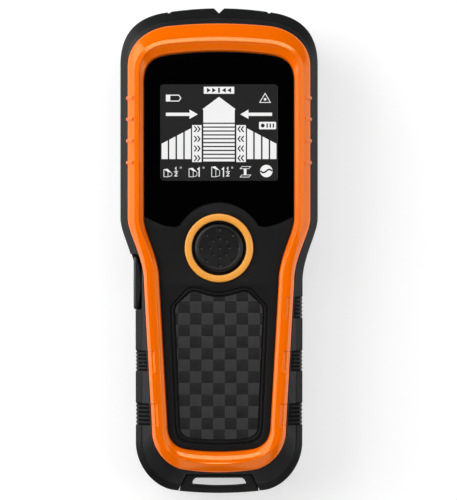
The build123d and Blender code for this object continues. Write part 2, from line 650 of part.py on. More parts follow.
with BuildPart() as lcd_glass:
    block((-LCD_GLASS_X / 2, LCD_Y - LCD_GLASS_Y / 2, 22.5), (LCD_GLASS_X / 2, LCD_Y + LCD_GLASS_Y / 2, 25.0))
    chamfer(lcd_glass.edges().group_by(Axis.Z)[-1], length=0.3)
save(lcd_glass, "lcd_glass")

# ---------------------------------------------------------------- main board and what is on it
with BuildPart() as main_board:
    below = MAIN_BOARD_Z - SEE_THROUGH
    above = MAIN_BOARD_TOP + SEE_THROUGH
    slab(SEAM.inset(SHELL_WALL + 0.4), MAIN_BOARD_Z, MAIN_BOARD_TOP)
    block((-HEAD_WIDTH, -13.8, below), (HEAD_WIDTH, HALF_LENGTH, above), mode=Mode.INTERSECT)
    block((-HEAD_WIDTH, KEY_FOOT_Y - 2.0, below), (-20.2, KEY_TOP_Y + 2.0, above), mode=Mode.SUBTRACT)
    for x, y in CASE_SCREWS:
        rod(x, y, below, above, BOSS_RADIUS, mode=Mode.SUBTRACT)
    for x, y in BOARD_SCREWS:
        rod(x, y, below, above, 1.0, mode=Mode.SUBTRACT)
save(main_board, "main_board")

with BuildPart() as board_screws:
    for x, y in BOARD_SCREWS:
        rod(x, y, MAIN_BOARD_Z - 1.2, MAIN_BOARD_Z, 1.8)
        rod(x, y, MAIN_BOARD_Z - 0.2, MAIN_BOARD_Z + 5.0, 0.85)
save(board_screws, "board_screws")

with BuildPart() as microcontroller:
    with Locations((0, 44.0, MAIN_BOARD_Z - 0.9)):
        Box(12.0, 12.0, 1.4)
        for turn in (0, 90):
            with Locations(Location((0, 0, -0.3), (0, 0, turn))):
                with GridLocations(13.0, 1.0, 2, 11):
                    Box(1.4, 0.4, 0.3)
save(microcontroller, "microcontroller")

with BuildPart() as capacitors:
    for x, y in ((-11.0, -4.0), (11.0, -4.0), (-18.0, 2.0)):
        rod(x, y, 11.5, MAIN_BOARD_Z, 2.6)
    fillet(capacitors.edges().group_by(Axis.Z)[0], radius=0.5)
save(capacitors, "capacitors")

with BuildPart() as sounder:
    rod(0, 2.0, 12.0, MAIN_BOARD_Z, 6.0)
    rod(0, 2.0, 11.0, 13.0, 1.0, mode=Mode.SUBTRACT)
    fillet(sounder.edges().group_by(Axis.Z)[0].sort_by(SortBy.LENGTH)[-1], radius=0.5)
save(sounder, "sounder")

with BuildPart() as board_socket:
    block((-5.2, 63.6, 9.0), (5.2, 68.6, MAIN_BOARD_Z))
save(board_socket, "board_socket")

# ---------------------------------------------------------------- sensor board and what is on it
with BuildPart() as sensor_board:
    with BuildSketch(Plane.XY.offset(SENSOR_BOARD_Z)):
        with Locations((0, 41.0)):
            RectangleRounded(54.0, 60.0, 6.0)
    extrude(amount=BOARD_THICK)
    for x, y in CASE_SCREWS:
        rod(
            x, y, SENSOR_BOARD_Z - SEE_THROUGH, SENSOR_BOARD_TOP + SEE_THROUGH, BOSS_RADIUS + 0.3,
            mode=Mode.SUBTRACT,
        )
save(sensor_board, "sensor_board")

with BuildPart() as sensor_plates:
    with Locations((0, 41.0, SENSOR_BOARD_Z - 0.15)):
        with GridLocations(16.0, 1.0, 3, 1):
            Box(12.0, 37.0, 0.3)
save(sensor_plates, "sensor_plates")

with BuildPart() as board_header:
    block((-5.2, 63.6, SENSOR_BOARD_TOP), (5.2, 68.6, 9.0))
save(board_header, "board_header")

COIL_Y = 38.0
with BuildPart() as coil_former:
    rod(0, COIL_Y, SENSOR_BOARD_TOP, SENSOR_BOARD_TOP + 4.4, 13.8)
    rod(0, COIL_Y, SENSOR_BOARD_TOP, SENSOR_BOARD_TOP + 0.7, 18.0)
    rod(0, COIL_Y, SENSOR_BOARD_TOP + 3.7, SENSOR_BOARD_TOP + 4.4, 18.0)
    rod(0, COIL_Y, SENSOR_BOARD_TOP - SEE_THROUGH, SENSOR_BOARD_TOP + 6.0, 12.4, mode=Mode.SUBTRACT)
save(coil_former, "coil_former")

with BuildPart() as coil_winding:
    rod(0, COIL_Y, SENSOR_BOARD_TOP + 0.7, SENSOR_BOARD_TOP + 3.7, 17.2)
    rod(0, COIL_Y, SENSOR_BOARD_TOP, SENSOR_BOARD_TOP + 5.0, 13.8, mode=Mode.SUBTRACT)
save(coil_winding, "coil_winding")

with BuildPart() as sensor_chip:
    with Locations((0, 60.0, SENSOR_BOARD_TOP + 0.8)):
        Box(8.0, 4.0, 1.4)
        for row in (-2.6, 2.6):
            with Locations((0, row, -0.5)):
                with GridLocations(1.27, 1.0, 6, 1):
                    Box(0.5, 1.4, 0.3)
save(sensor_chip, "sensor_chip")

# ---------------------------------------------------------------- battery, contacts and leads
with BuildPart() as battery:
    with Locations((0, BATTERY_FOOT_Y + BATTERY_Y / 2, BATTERY_MID_Z)):
        Box(BATTERY_X, BATTERY_Y, BATTERY_Z)
    fillet(battery.edges().filter_by(Axis.Y), radius=2.2)
save(battery, "battery")

with BuildPart() as battery_terminals:
    for x, radius in ((-TERMINAL_X, 2.85), (TERMINAL_X, 3.8)):
        with Locations(Location((x, BATTERY_TOP_Y + TERMINAL_HEIGHT / 2, BATTERY_MID_Z), (90, 0, 0))):
            Cylinder(radius, TERMINAL_HEIGHT)
    with Locations(Location((TERMINAL_X, BATTERY_TOP_Y + TERMINAL_HEIGHT, BATTERY_MID_Z), (90, 0, 0))):
        Cylinder(2.9, 2.6, mode=Mode.SUBTRACT)
save(battery_terminals, "battery_terminals")

CONTACT_Y = BATTERY_TOP_Y + TERMINAL_HEIGHT
BLOCK_FOOT_Y = CONTACT_Y + 0.8
BLOCK_HEAD_Y = BLOCK_FOOT_Y + 2.0
with BuildPart() as contact_block:
    block((-BOX_HALF_X + GAP, BLOCK_FOOT_Y, 5.2), (BOX_HALF_X - GAP, BLOCK_HEAD_Y, BOX_TOP_Z - GAP))
    for x in (-TERMINAL_X, TERMINAL_X):
        with Locations(Location((x, BLOCK_HEAD_Y, BATTERY_MID_Z + 0.5), (90, 0, 0))):
            Cylinder(0.9, 1.0, mode=Mode.SUBTRACT)
save(contact_block, "contact_block")

with BuildPart() as battery_contacts:
    for x in (-TERMINAL_X, TERMINAL_X):
        with Locations(Location((x, BLOCK_FOOT_Y - 0.4, BATTERY_MID_Z), (90, 0, 0))):
            Cylinder(4.2, 0.8)
save(battery_contacts, "battery_contacts")

LEAD_RADIUS = 0.6


def lead_route(side):
    """The points of one battery lead, from behind its contact to the underside of the main board."""
    return [
        (side * TERMINAL_X, BLOCK_HEAD_Y, BATTERY_MID_Z + 0.5),
        (side * TERMINAL_X, BLOCK_HEAD_Y + 5.6, BATTERY_MID_Z - 0.3),
        (side * (TERMINAL_X + 0.6), BLOCK_HEAD_Y + 10.5, BATTERY_MID_Z + 1.1),
        (side * (TERMINAL_X + 0.6), BLOCK_HEAD_Y + 11.7, MAIN_BOARD_Z - 0.2),
    ]


def lead_path(route):
    """A wire of straight runs joined by arcs as large as the runs allow."""
    points = [Vector(*point) for point in route]
    radii = []
    for before, here, after in zip(points, points[1:], points[2:]):
        turn = (here - before).get_angle(after - here)
        run = min((here - before).length, (after - here).length)
        radii.append(0.45 * run / tan(radians(turn / 2)))
    print("lead radii", [round(radius, 2) for radius in radii])
    with BuildLine() as path:
        FilletPolyline(*points, radius=radii)
    return path.wires()[0]


for side, lead_name in ((-1, "lead_black"), (1, "lead_red")):
    lead_wire = lead_path(lead_route(side))
    with BuildPart() as battery_lead:
        with BuildSketch(Plane(origin=lead_wire @ 0, z_dir=lead_wire % 0)):
            Circle(LEAD_RADIUS)
        sweep(path=lead_wire)
    print(lead_name, round(lead_wire.length, 2), round(battery_lead.part.volume / (pi * LEAD_RADIUS ** 2), 2))
    save(battery_lead, lead_name)

# ---------------------------------------------------------------- battery door
with BuildPart() as battery_door:
    block((-DOOR_HALF_X, DOOR_FOOT_Y, BACK_Z), (DOOR_HALF_X, HINGE_Y, BACK_Z + DOOR_THICK))
    fillet(battery_door.edges().filter_by(Axis.Z).group_by(Axis.Y)[0], radius=2.0)
    with Locations(Location((0, HINGE_Y, HINGE_Z), (0, 90, 0))):
        Cylinder(HINGE_RADIUS, 2 * DOOR_HALF_X)
        Cylinder(PIN_RADIUS, 2 * PIN_END_X)
    # Grip ridges at the foot, where a thumb opens it
    for row in range(4):
        with Locations((0, DOOR_FOOT_Y + 4.0 + 2.2 * row, BACK_Z)):
            Box(14.0, 0.9, 0.5, mode=Mode.SUBTRACT)
save(battery_door, "battery_door")

with BuildPart() as battery_pad:
    block((-10.0, -60.0, BACK_Z + DOOR_THICK), (10.0, -28.0, BATTERY_BASE_Z - 0.2))
    fillet(battery_pad.edges().filter_by(Axis.Z), radius=1.5)
save(battery_pad, "battery_pad")

# ---------------------------------------------------------------- screws and glide pads
with BuildPart() as case_screws:
    for x, y in CASE_SCREWS:
        rod(x, y, SCREW_HEAD_Z, SCREW_SEAT_Z, SCREW_HEAD_RADIUS)
        rod(x, y, SCREW_SEAT_Z - GAP, SPLIT_Z + 7.0, SCREW_RADIUS)
        for turn in (0, 90):
            with Locations(Location((x, y, SCREW_HEAD_Z), (0, 0, turn))):
                Box(2.8, 0.7, 1.6, mode=Mode.SUBTRACT)
save(case_screws, "case_screws")

with BuildPart() as glide_pads:
    for x, y, width, length in PAD_STRIPS:
        with BuildSketch(Plane.XY):
            with Locations((x, y)):
                RectangleRounded(width, length, 1.5)
        extrude(amount=PAD_SEAT_Z)
save(glide_pads, "glide_pads")
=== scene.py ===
import math

import bmesh
import bpy
import numpy as np
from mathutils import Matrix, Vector

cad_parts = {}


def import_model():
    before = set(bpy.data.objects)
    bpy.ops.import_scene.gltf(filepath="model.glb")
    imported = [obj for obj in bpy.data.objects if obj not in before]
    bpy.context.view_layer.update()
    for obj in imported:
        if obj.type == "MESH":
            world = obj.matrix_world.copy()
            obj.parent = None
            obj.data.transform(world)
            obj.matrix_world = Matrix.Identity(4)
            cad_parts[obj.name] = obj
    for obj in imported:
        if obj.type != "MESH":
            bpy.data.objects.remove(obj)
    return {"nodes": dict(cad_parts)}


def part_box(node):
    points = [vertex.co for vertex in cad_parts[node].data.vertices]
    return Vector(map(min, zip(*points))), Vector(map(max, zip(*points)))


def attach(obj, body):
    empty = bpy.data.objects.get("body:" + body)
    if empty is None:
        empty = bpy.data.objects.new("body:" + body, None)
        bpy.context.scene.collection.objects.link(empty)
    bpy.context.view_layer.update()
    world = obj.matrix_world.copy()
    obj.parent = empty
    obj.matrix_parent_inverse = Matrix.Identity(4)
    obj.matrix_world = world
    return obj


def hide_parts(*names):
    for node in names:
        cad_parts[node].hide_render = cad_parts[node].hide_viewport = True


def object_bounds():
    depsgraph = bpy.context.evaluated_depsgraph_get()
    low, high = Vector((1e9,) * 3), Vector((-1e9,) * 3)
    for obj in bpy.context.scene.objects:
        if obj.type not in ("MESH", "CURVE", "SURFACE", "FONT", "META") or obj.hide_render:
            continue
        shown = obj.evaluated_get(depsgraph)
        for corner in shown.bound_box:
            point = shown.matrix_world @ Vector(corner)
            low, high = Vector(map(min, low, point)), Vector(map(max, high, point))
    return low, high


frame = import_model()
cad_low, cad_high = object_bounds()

MM = 0.001
LEFT = np.array([-1, 1])  # turns points of the right half into points of the left half
HOUSING = "housing"

# ---------------------------- places taken from the frame, in mm
HALF_HEAD = cad_high.x / MM
BUTTON_Y = (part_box("mode_button")[0].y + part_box("mode_button")[1].y) / 2 / MM
BUTTON_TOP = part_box("mode_button")[1].z / MM
RING_OUTER = (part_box("button_ring")[1].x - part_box("button_ring")[0].x) / 2 / MM
FACE_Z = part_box("front_panel")[0].z / MM
PANEL_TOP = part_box("front_panel")[1].z / MM
WINDOW_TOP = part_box("display_window")[1].z / MM
WINDOW_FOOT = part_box("display_window")[0].z / MM
SPLIT_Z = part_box("rubber_bumper")[0].z / MM
LCD_Y = (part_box("lcd_holder")[0].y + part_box("lcd_holder")[1].y) / 2 / MM

# ---------------------------- sizes of the visible surface, in mm
HALF_LENGTH = 78.5
HALF_GRIP = 27.1
WAIST_TOP_Y = 10.5
WAIST_FOOT_Y = -10.0
SHOULDER_Z = 24.0  # where the bumper's wall turns into its slope
RIDGE_Z = 31.0  # the top of the bezel
BUTTON_RADIUS = 7.85
DISH_RADIUS = 6.9
CAP_ROUNDING = 0.7
DIMPLE_RADIUS = 0.62
RING_INNER = 8.8
LCD_HALF_X = 18.8
LCD_HALF_Y = 15.45
KEY_GAP = (-19.4, -1.5)  # from where to where the bumper makes room for the side key
# The grip ribs: (foot, top) of each group, by side of the body
RIB_GROUPS = {1: ((-22.0, -14.8), (-39.1, -32.2), (-56.6, -49.2)), -1: ((-39.1, -32.2), (-56.6, -49.2))}
RIB_RAMP = 0.45  # the sloping ends of a group's seat
RIB_SEAT_DEPTH = 0.6
RIB_TEETH = 5
RIB_WIDTH = 0.72
RIB_HEIGHT = 0.5
RIB_STEPS = 7  # points over a rib's round top
HEAD_RIBS = (49.1, 42.3, 35.3, 28.3)
HEAD_RIB_HALF_LENGTH = 0.6
HEAD_RIB_OUT = 0.55
HEAD_RIB_UP = 0.3
LIP = 0.25  # how far the bumper laps over the shell
TAIL_Y = -70.0  # below here the bumper makes room for the lanyard tab
TAB_SEAT = ((10.95, -72.65), (13.95, -79.5))  # half width and y at the top and the foot of the tab's seat
POCKET_WIDTH = 2.2
POCKET_DEPTH = 0.6
POCKET_RAMP = 0.35
TILE = 3.755  # one square of the inlay's weave
TILE_START_Y = -16.4
WEAVE_CROWN = 0.10
DIP_HALF = 7.6  # half the width of the dip in the inlay's top
# Marking notches in the head's end: place, half width and depth
NOTCHES = ((0.0, 1.75, 1.8), (16.2, 1.3, 1.2), (-16.2, 1.3, 1.2))


# ---------------------------- outlines
def bezier(points, count):
    """Points along a Bezier curve, without its last one."""
    t = np.linspace(0, 1, count, endpoint=False)[:, None]
    points = np.array(points, float)
    degree = len(points) - 1
    weights = [math.comb(degree, k) * (1 - t) ** (degree - k) * t ** k for k in range(degree + 1)]
    return sum(weight * point for weight, point in zip(weights, points))


def unit(vector):
    """The vector at length one."""
    return vector / np.linalg.norm(vector)


class Outline:
    """The outline of the body or of one edge of its bezel, as the frame has it."""

    def __init__(self, top, crown, head, head_y, corner_pull, grip, tail, tail_y, heel_pull, toe, bottom):
        self.top, self.crown, self.head, self.head_y, self.corner_pull = top, crown, head, head_y, corner_pull
        self.grip, self.tail, self.tail_y, self.heel_pull = grip, tail, tail_y, heel_pull
        self.toe, self.bottom = toe, bottom

    def inset(self, amount, top=None, bottom=None):
        """The outline moved inwards, at its ends by other amounts where these are given."""
        top = amount if top is None else top
        bottom = amount if bottom is None else bottom
        return Outline(
            self.top - top, (self.crown[0], self.crown[1] - top), self.head - amount, self.head_y,
            self.corner_pull, self.grip - amount, self.tail - amount, self.tail_y, self.heel_pull,
            (self.toe[0], self.toe[1] + bottom), self.bottom + bottom,
        )

    def ring(self):
        """The closed outline as points, clockwise from the top centre, in mm."""
        crown, toe = np.array(self.crown), np.array(self.toe)
        fall = unit(np.array([self.crown[0] / 2, self.crown[1] - self.top]))
        rise = unit(np.array([self.toe[0] / 2, self.toe[1] - self.bottom]))
        across = (self.head - self.crown[0]) * self.corner_pull[0]
        down = (self.crown[1] - self.head_y) * self.corner_pull[1]
        drop = (self.tail_y - self.toe[1]) * self.heel_pull[0]
        back = (self.tail - self.toe[0]) * self.heel_pull[1]
        head_side = (self.head, self.head_y)
        waist_top = (self.head, WAIST_TOP_Y)
        waist_foot = (self.grip, WAIST_FOOT_Y)
        waist_bend = [(self.head, WAIST_TOP_Y - 5.0), (self.grip, WAIST_FOOT_Y + 8.0)]
        tail_side = (self.tail, self.tail_y)
        half = np.concatenate([
            bezier([(0, self.top), (self.crown[0] / 2, self.top), crown], 90),
            bezier([crown, crown + fall * across, (self.head, self.head_y + down), head_side], 36),
            bezier([head_side, waist_top], 240),
            bezier([waist_top, *waist_bend, waist_foot], 60),
            bezier([waist_foot, tail_side], 260),
            bezier([tail_side, (self.tail, self.tail_y - drop), toe + rise * back, toe], 36),
            bezier([toe, (self.toe[0] / 2, self.bottom), (0, self.bottom)], 40),
            np.array([(0, self.bottom)]),
        ])
        return np.concatenate([half, half[1:-1][::-1] * LEFT])


BODY = Outline(HALF_LENGTH, (17.4, 77.1), HALF_HEAD, 60.0, (0.70, 0.57), HALF_GRIP, 27.0, -62.0, (0.51, 0.52),
               (14.5, -77.65), -HALF_LENGTH)
BEZEL_OUTER = Outline(73.2, (15.8, 72.4), 29.45, 59.5, (0.62, 0.50), 24.2, 21.6, -58.0, (0.55, 0.45),
                      (11.5, -70.6), -71.5)
BEZEL_INNER = Outline(64.1, (15.8, 63.1), 24.2, 54.0, (0.80, 0.60), 19.2, 16.6, -56.0, (0.70, 0.60),
                      (9.5, -64.2), -64.8)
RIDGE_OUTER = Outline(68.7, (15.8, 67.9), 27.3, 57.0, (0.70, 0.55), 23.2, 20.6, -57.2, (0.60, 0.50),
                      (10.8, -67.4), -69.1)
RIDGE_INNER = Outline(67.2, (15.8, 66.4), 25.7, 56.4, (0.72, 0.56), 20.3, 17.7, -56.8, (0.62, 0.52),
                      (10.4, -67.0), -67.8)
SEAM = BODY.inset(2.2, top=3.1)
FOOT = BEZEL_OUTER.inset(-0.25)


def at(ring, z):
    """A ring of an outline lifted to height z, which may be one number or one for each point."""
    return np.column_stack([ring, np.broadcast_to(z, len(ring))])


def mix(a, b, share):
    """The ring part of the way from a to b."""
    return a + (b - a) * (share if np.isscalar(share) else share[:, None])


def rounded(stations, radii, steps=5):
    """A closed profile's stations with each corner turned into a small curve.

    radii has one radius for each station, or one for each point of that station.
    """
    out = []
    count = len(stations)
    for k in range(count):
        before, here, after = stations[k - 1], stations[k], stations[(k + 1) % count]
        radius = np.broadcast_to(radii[k], len(here))
        to_before = np.linalg.norm(before - here, axis=1) + 1e-9
        to_after = np.linalg.norm(after - here, axis=1) + 1e-9
        start = mix(here, before, np.minimum(0.45, radius / to_before))
        end = mix(here, after, np.minimum(0.45, radius / to_after))
        for t in np.linspace(0, 1, steps):
            out.append((1 - t) ** 2 * start + 2 * t * (1 - t) * here + t ** 2 * end)
    return out


# ---------------------------- mesh building
def new_object(name, vertices, faces, body=HOUSING, smooth=True):
    """A mesh object from points in mm, riding on a body."""
    mesh = bpy.data.meshes.new(name)
    mesh.from_pydata([tuple(np.array(v) * MM) for v in vertices], [], faces)
    bm = bmesh.new()
    bm.from_mesh(mesh)
    bmesh.ops.remove_doubles(bm, verts=bm.verts, dist=1e-7)
    bmesh.ops.recalc_face_normals(bm, faces=bm.faces)
    bm.to_mesh(mesh)
    bm.free()
    for polygon in mesh.polygons:
        polygon.use_smooth = smooth
    obj = bpy.data.objects.new(name, mesh)
    bpy.context.scene.collection.objects.link(obj)
    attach(obj, body)
    return obj


def tube_faces(stations, count, closed_ring, offset=0):
    """The faces of a closed profile carried along a ring or an open run of points."""
    faces = []
    rows = len(stations)
    last = count if closed_ring else count - 1
    for k in range(rows):
        k2 = (k + 1) % rows
        for i in range(last):
            i2 = (i + 1) % count
            here, after = offset + k * count, offset + k2 * count
            faces.append((here + i, here + i2, after + i2, after + i))
    if not closed_ring:
        faces.append([offset + k * count for k in range(rows)][::-1])
        faces.append([offset + k * count + count - 1 for k in range(rows)])
    return faces


def loft(name, stations):
    """A closed ring of a closed profile."""
    count = len(stations[0])
    vertices = np.concatenate(stations)
    return new_object(name, vertices, tube_faces(stations, count, True))


def loft_runs(name, stations, runs):
    """The profile along separate runs of the ring, each capped at both ends. runs are index lists."""
    vertices, faces = [], []
    for run in runs:
        part = [station[run] for station in stations]
        faces += tube_faces(part, len(run), False, len(vertices))
        vertices += list(np.concatenate(part))
    return new_object(name, vertices, faces)


def lathe(name, profile, x, y, count=160):
    """A closed profile of (radius, z) turned about an upright axis."""
    vertices = []
    for radius, z in profile:
        for i in range(count):
            turn = 2 * math.pi * i / count
            vertices.append((x + radius * math.cos(turn), y + radius * math.sin(turn), z))
    return new_object(name, vertices, tube_faces(profile, count, True))


def rounded_profile(points, radii, steps=5):
    """A closed (radius, z) profile with rounded corners."""
    stations = [np.array([point], float) for point in points]
    return [tuple(station[0]) for station in rounded(stations, radii, steps)]


def plate(name, loops, low, high, edge):
    """A flat plate with holes and softly rounded edges, from closed loops of points in mm."""
    curve = bpy.data.curves.new(name, "CURVE")
    curve.dimensions = "2D"
    curve.fill_mode = "BOTH"
    curve.extrude = ((high - low) / 2 - edge) * MM
    curve.bevel_depth = edge * MM
    curve.bevel_resolution = 3
    curve.offset = -edge * MM
    for loop in loops:
        spline = curve.splines.new("POLY")
        spline.points.add(len(loop) - 1)
        for point, (x, y) in zip(spline.points, loop):
            point.co = (x * MM, y * MM, 0, 1)
        spline.use_cyclic_u = True
    source = bpy.data.objects.new(name + "_curve", curve)
    bpy.context.scene.collection.objects.link(source)
    bpy.context.view_layer.update()
    mesh = bpy.data.meshes.new_from_object(source.evaluated_get(bpy.context.evaluated_depsgraph_get()))
    bpy.data.objects.remove(source)
    bpy.data.curves.remove(curve)
    points = np.array([v.co for v in mesh.vertices]) / MM
    points[:, 2] += (low + high) / 2
    faces = [tuple(p.vertices) for p in mesh.polygons]
    bpy.data.meshes.remove(mesh)
    obj = new_object(name, points, faces)
    sharpen(obj)
    return obj


def sharpen(obj, degrees=35):
    """Marks edges over an angle as sharp, so that flat faces stay flat under smooth shading."""
    obj.data.set_sharp_from_angle(angle=math.radians(degrees))


def prisms(name, shapes, low, high):
    """Thin flat shapes standing on one plane, from lists of corner points in mm."""
    vertices, faces = [], []
    for shape in shapes:
        count, base = len(shape), len(vertices)
        vertices += [(x, y, low) for x, y in shape] + [(x, y, high) for x, y in shape]
        faces.append([base + i for i in range(count)][::-1])
        faces.append([base + count + i for i in range(count)])
        for i in range(count):
            j = (i + 1) % count
            faces.append((base + i, base + j, base + count + j, base + count + i))
    return new_object(name, vertices, faces, smooth=False)


# ---------------------------- materials
def material(name):
    """An empty node material with its shader, and a helper that adds nodes to it."""
    mat = bpy.data.materials.new(name)
    mat.use_nodes = True
    nodes, links = mat.node_tree.nodes, mat.node_tree.links
    shader = nodes["Principled BSDF"]
    place = nodes.new("ShaderNodeTexCoord")

    def add(kind, inputs=(), **settings):
        node = nodes.new(kind)
        for key, value in settings.items():
            setattr(node, key, value)
        for key, value in dict(inputs).items():
            if isinstance(value, bpy.types.NodeSocket):
                links.new(value, node.inputs[key])
            else:
                node.inputs[key].default_value = value
        return node

    return mat, shader, place.outputs["Object"], add, links


def moulded(name, color, roughness, grain=3200.0, grain_depth=0.00002, tint=0.12, spread=0.06, coat=0.0,
            coat_roughness=0.1, specular=0.5, blotch=45.0, warm=0.0):
    """Moulded plastic or rubber: fine surface grain, slow colour drift and uneven gloss.

    warm, from 0 to 1, turns its highlights yellow, as a strongly coloured plastic's are.
    """
    mat, shader, place, add, links = material(name)
    slow = add("ShaderNodeTexNoise", {"Vector": place, "Scale": blotch, "Detail": 4.0, "Roughness": 0.6})
    dark = [c * (1 - tint) for c in color] + [1]
    light = [min(1, c * (1 + tint)) for c in color] + [1]
    ramp = add("ShaderNodeMix", {"Factor": slow.outputs["Fac"]}, data_type="RGBA")
    ramp.inputs["A"].default_value = dark
    ramp.inputs["B"].default_value = light
    links.new(ramp.outputs["Result"], shader.inputs["Base Color"])
    handled = add("ShaderNodeTexNoise", {"Vector": place, "Scale": blotch * 4.4, "Detail": 5.0,
                                         "Roughness": 0.65})
    rough = add("ShaderNodeMapRange", {"Value": handled.outputs["Fac"], "From Min": 0.3, "From Max": 0.7,
                                       "To Min": roughness - spread, "To Max": roughness + spread})
    links.new(rough.outputs["Result"], shader.inputs["Roughness"])
    fine = add("ShaderNodeTexNoise", {"Vector": place, "Scale": grain, "Detail": 3.0, "Roughness": 0.55})
    bump = add("ShaderNodeBump", {"Height": fine.outputs["Fac"], "Strength": 1.0, "Distance": grain_depth})
    links.new(bump.outputs["Normal"], shader.inputs["Normal"])
    shader.inputs["Specular IOR Level"].default_value = specular
    shader.inputs["Coat Weight"].default_value = coat
    shader.inputs["Coat Roughness"].default_value = coat_roughness
    shader.inputs["Specular Tint"].default_value = (1, 1 - 0.2 * warm, 1 - warm, 1)
    return mat


def metal(name, color, roughness, brushed=900.0):
    """Plated or bare metal with fine drawn marks."""
    mat, shader, place, add, links = material(name)
    marks = add("ShaderNodeTexNoise", {"Vector": place, "Scale": brushed, "Detail": 6.0, "Roughness": 0.7})
    rough = add("ShaderNodeMapRange", {"Value": marks.outputs["Fac"], "From Min": 0.3, "From Max": 0.7,
                                       "To Min": roughness * 0.7, "To Max": roughness * 1.4})
    shade = add("ShaderNodeMix", {"Factor": marks.outputs["Fac"]}, data_type="RGBA")
    shade.inputs["A"].default_value = [c * 0.8 for c in color] + [1]
    shade.inputs["B"].default_value = list(color) + [1]
    bump = add("ShaderNodeBump", {"Height": marks.outputs["Fac"], "Strength": 0.6, "Distance": 0.00001})
    links.new(shade.outputs["Result"], shader.inputs["Base Color"])
    links.new(rough.outputs["Result"], shader.inputs["Roughness"])
    links.new(bump.outputs["Normal"], shader.inputs["Normal"])
    shader.inputs["Metallic"].default_value = 1.0
    return mat


def weave(name, tile):
    """Checkered woven fibre: squares painted light or dark by turns with the way their fibres run, a painted
    sheen that stands in for light catching the fibres.
    """
    mat, shader, place, add, links = material(name)
    start = (tile * MM / 2, -TILE_START_Y * MM, 0.0)
    flat = add("ShaderNodeMapping", {"Vector": place, "Location": start, "Scale": (1, 1, 0)})
    lift = add("ShaderNodeVectorMath", {0: flat.outputs["Vector"], 1: (0, 0, tile * MM / 2)}, operation="ADD")
    # painted sheen: every other square is painted lighter, in place of light catching fibres that run the
    # other way
    sheen_checker = add("ShaderNodeTexChecker", {"Vector": lift.outputs["Vector"], "Scale": 1 / (tile * MM)})
    fibres = {"Vector": place, "Scale": 560.0, "Distortion": 1.2, "Detail": 2.0, "Detail Scale": 2.0}
    along = add("ShaderNodeTexWave", fibres, bands_direction="Y")
    across = add("ShaderNodeTexWave", fibres, bands_direction="X")
    fibre = add("ShaderNodeMix", {"Factor": sheen_checker.outputs["Fac"], "A": along.outputs["Fac"],
                                  "B": across.outputs["Fac"]}, data_type="FLOAT")
    noise = add("ShaderNodeTexNoise", {"Vector": place, "Scale": 420.0, "Detail": 4.0, "Roughness": 0.7})
    # the painted sheen of the checker, the fibre pattern and a random tone, summed into one shade
    sheen_and_tone = add("ShaderNodeMath", {0: sheen_checker.outputs["Fac"], 1: 0.55}, operation="MULTIPLY")
    sheen_and_tone = add("ShaderNodeMath", {0: fibre.outputs["Result"], 1: 0.14, 2: sheen_and_tone.outputs["Value"]},
               operation="MULTIPLY_ADD")
    sheen_and_tone = add("ShaderNodeMath", {0: noise.outputs["Fac"], 1: 0.38, 2: sheen_and_tone.outputs["Value"]},
               operation="MULTIPLY_ADD")
    shade = add("ShaderNodeMix", {"Factor": sheen_and_tone.outputs["Value"]}, data_type="RGBA")
    shade.inputs["A"].default_value = (0.0, 0.0, 0.0002, 1)
    shade.inputs["B"].default_value = (0.040, 0.040, 0.042, 1)
    bump = add("ShaderNodeBump", {"Height": fibre.outputs["Result"], "Strength": 0.8, "Distance": 0.00004})
    links.new(shade.outputs["Result"], shader.inputs["Base Color"])
    links.new(bump.outputs["Normal"], shader.inputs["Normal"])
    shader.inputs["Roughness"].default_value = 0.45
    shader.inputs["Specular IOR Level"].default_value = 0.25
    return mat


def lit_segment(name, color, strength):
    """A display segment lit from behind, with the faint unevenness of the light guide."""
    mat, shader, place, add, links = material(name)
    drift = add("ShaderNodeTexNoise", {"Vector": place, "Scale": 60.0, "Detail": 2.0})
    glow = add("ShaderNodeMapRange", {"Value": drift.outputs["Fac"], "To Min": strength * 0.92,
                                      "To Max": strength * 1.05})
    links.new(glow.outputs["Result"], shader.inputs["Emission Strength"])
    shader.inputs["Emission Color"].default_value = (*color, 1)
    shader.inputs["Base Color"].default_value = (0.08, 0.08, 0.08, 1)
    shader.inputs["Roughness"].default_value = 0.3
    return mat


def paint(obj, mat):
    """Gives an object one material on all its faces."""
    obj.data.materials.clear()
    obj.data.materials.append(mat)


orange = moulded("orange_plastic", (0.98, 0.155, 0.0), 0.18, grain=2600, grain_depth=0.000003, tint=0.02,
                 spread=0.03, coat=0.25, coat_roughness=0.06, warm=0.75)
ring_orange = moulded("ring_plastic", (0.96, 0.40, 0.055), 0.34, grain=2600, grain_depth=0.000006, tint=0.03,
                      spread=0.04, coat=0.2, coat_roughness=0.15)
rubber = moulded("bumper_rubber", (0.0052, 0.0054, 0.0058), 0.45, grain=3600, grain_depth=0.00003, tint=0.2,
                  specular=0.22)
# painted shade: a near-black colour for the sheets that darken the gaps between the grip ribs
rib_gap_shade_black = moulded("rib_gap_painted_shade", (0.0012, 0.0012, 0.0013), 0.7, grain=3600, grain_depth=0.00003,
                     tint=0.2, specular=0.1)
shell = moulded("shell_plastic", (0.0075, 0.0075, 0.0078), 0.45, grain=2400, grain_depth=0.00004, tint=0.15,
                 specular=0.32)
panel = moulded("panel_plastic", (0.0055, 0.0055, 0.0057), 0.5, grain=3000, grain_depth=0.00002, tint=0.15,
                specular=0.2)
gloss = moulded("window_gloss", (0.0006, 0.0006, 0.0007), 0.05, grain=300, grain_depth=0.0000005, tint=0.2,
                spread=0.02, coat=0.25, coat_roughness=0.03, specular=0.25)
button_rubber = moulded("button_rubber", (0.006, 0.006, 0.0063), 0.40, grain=4200, grain_depth=0.00002,
                        tint=0.2, specular=0.3)
key_rubber = moulded("key_rubber", (0.016, 0.016, 0.018), 0.33, grain=4200, grain_depth=0.00001, tint=0.2)
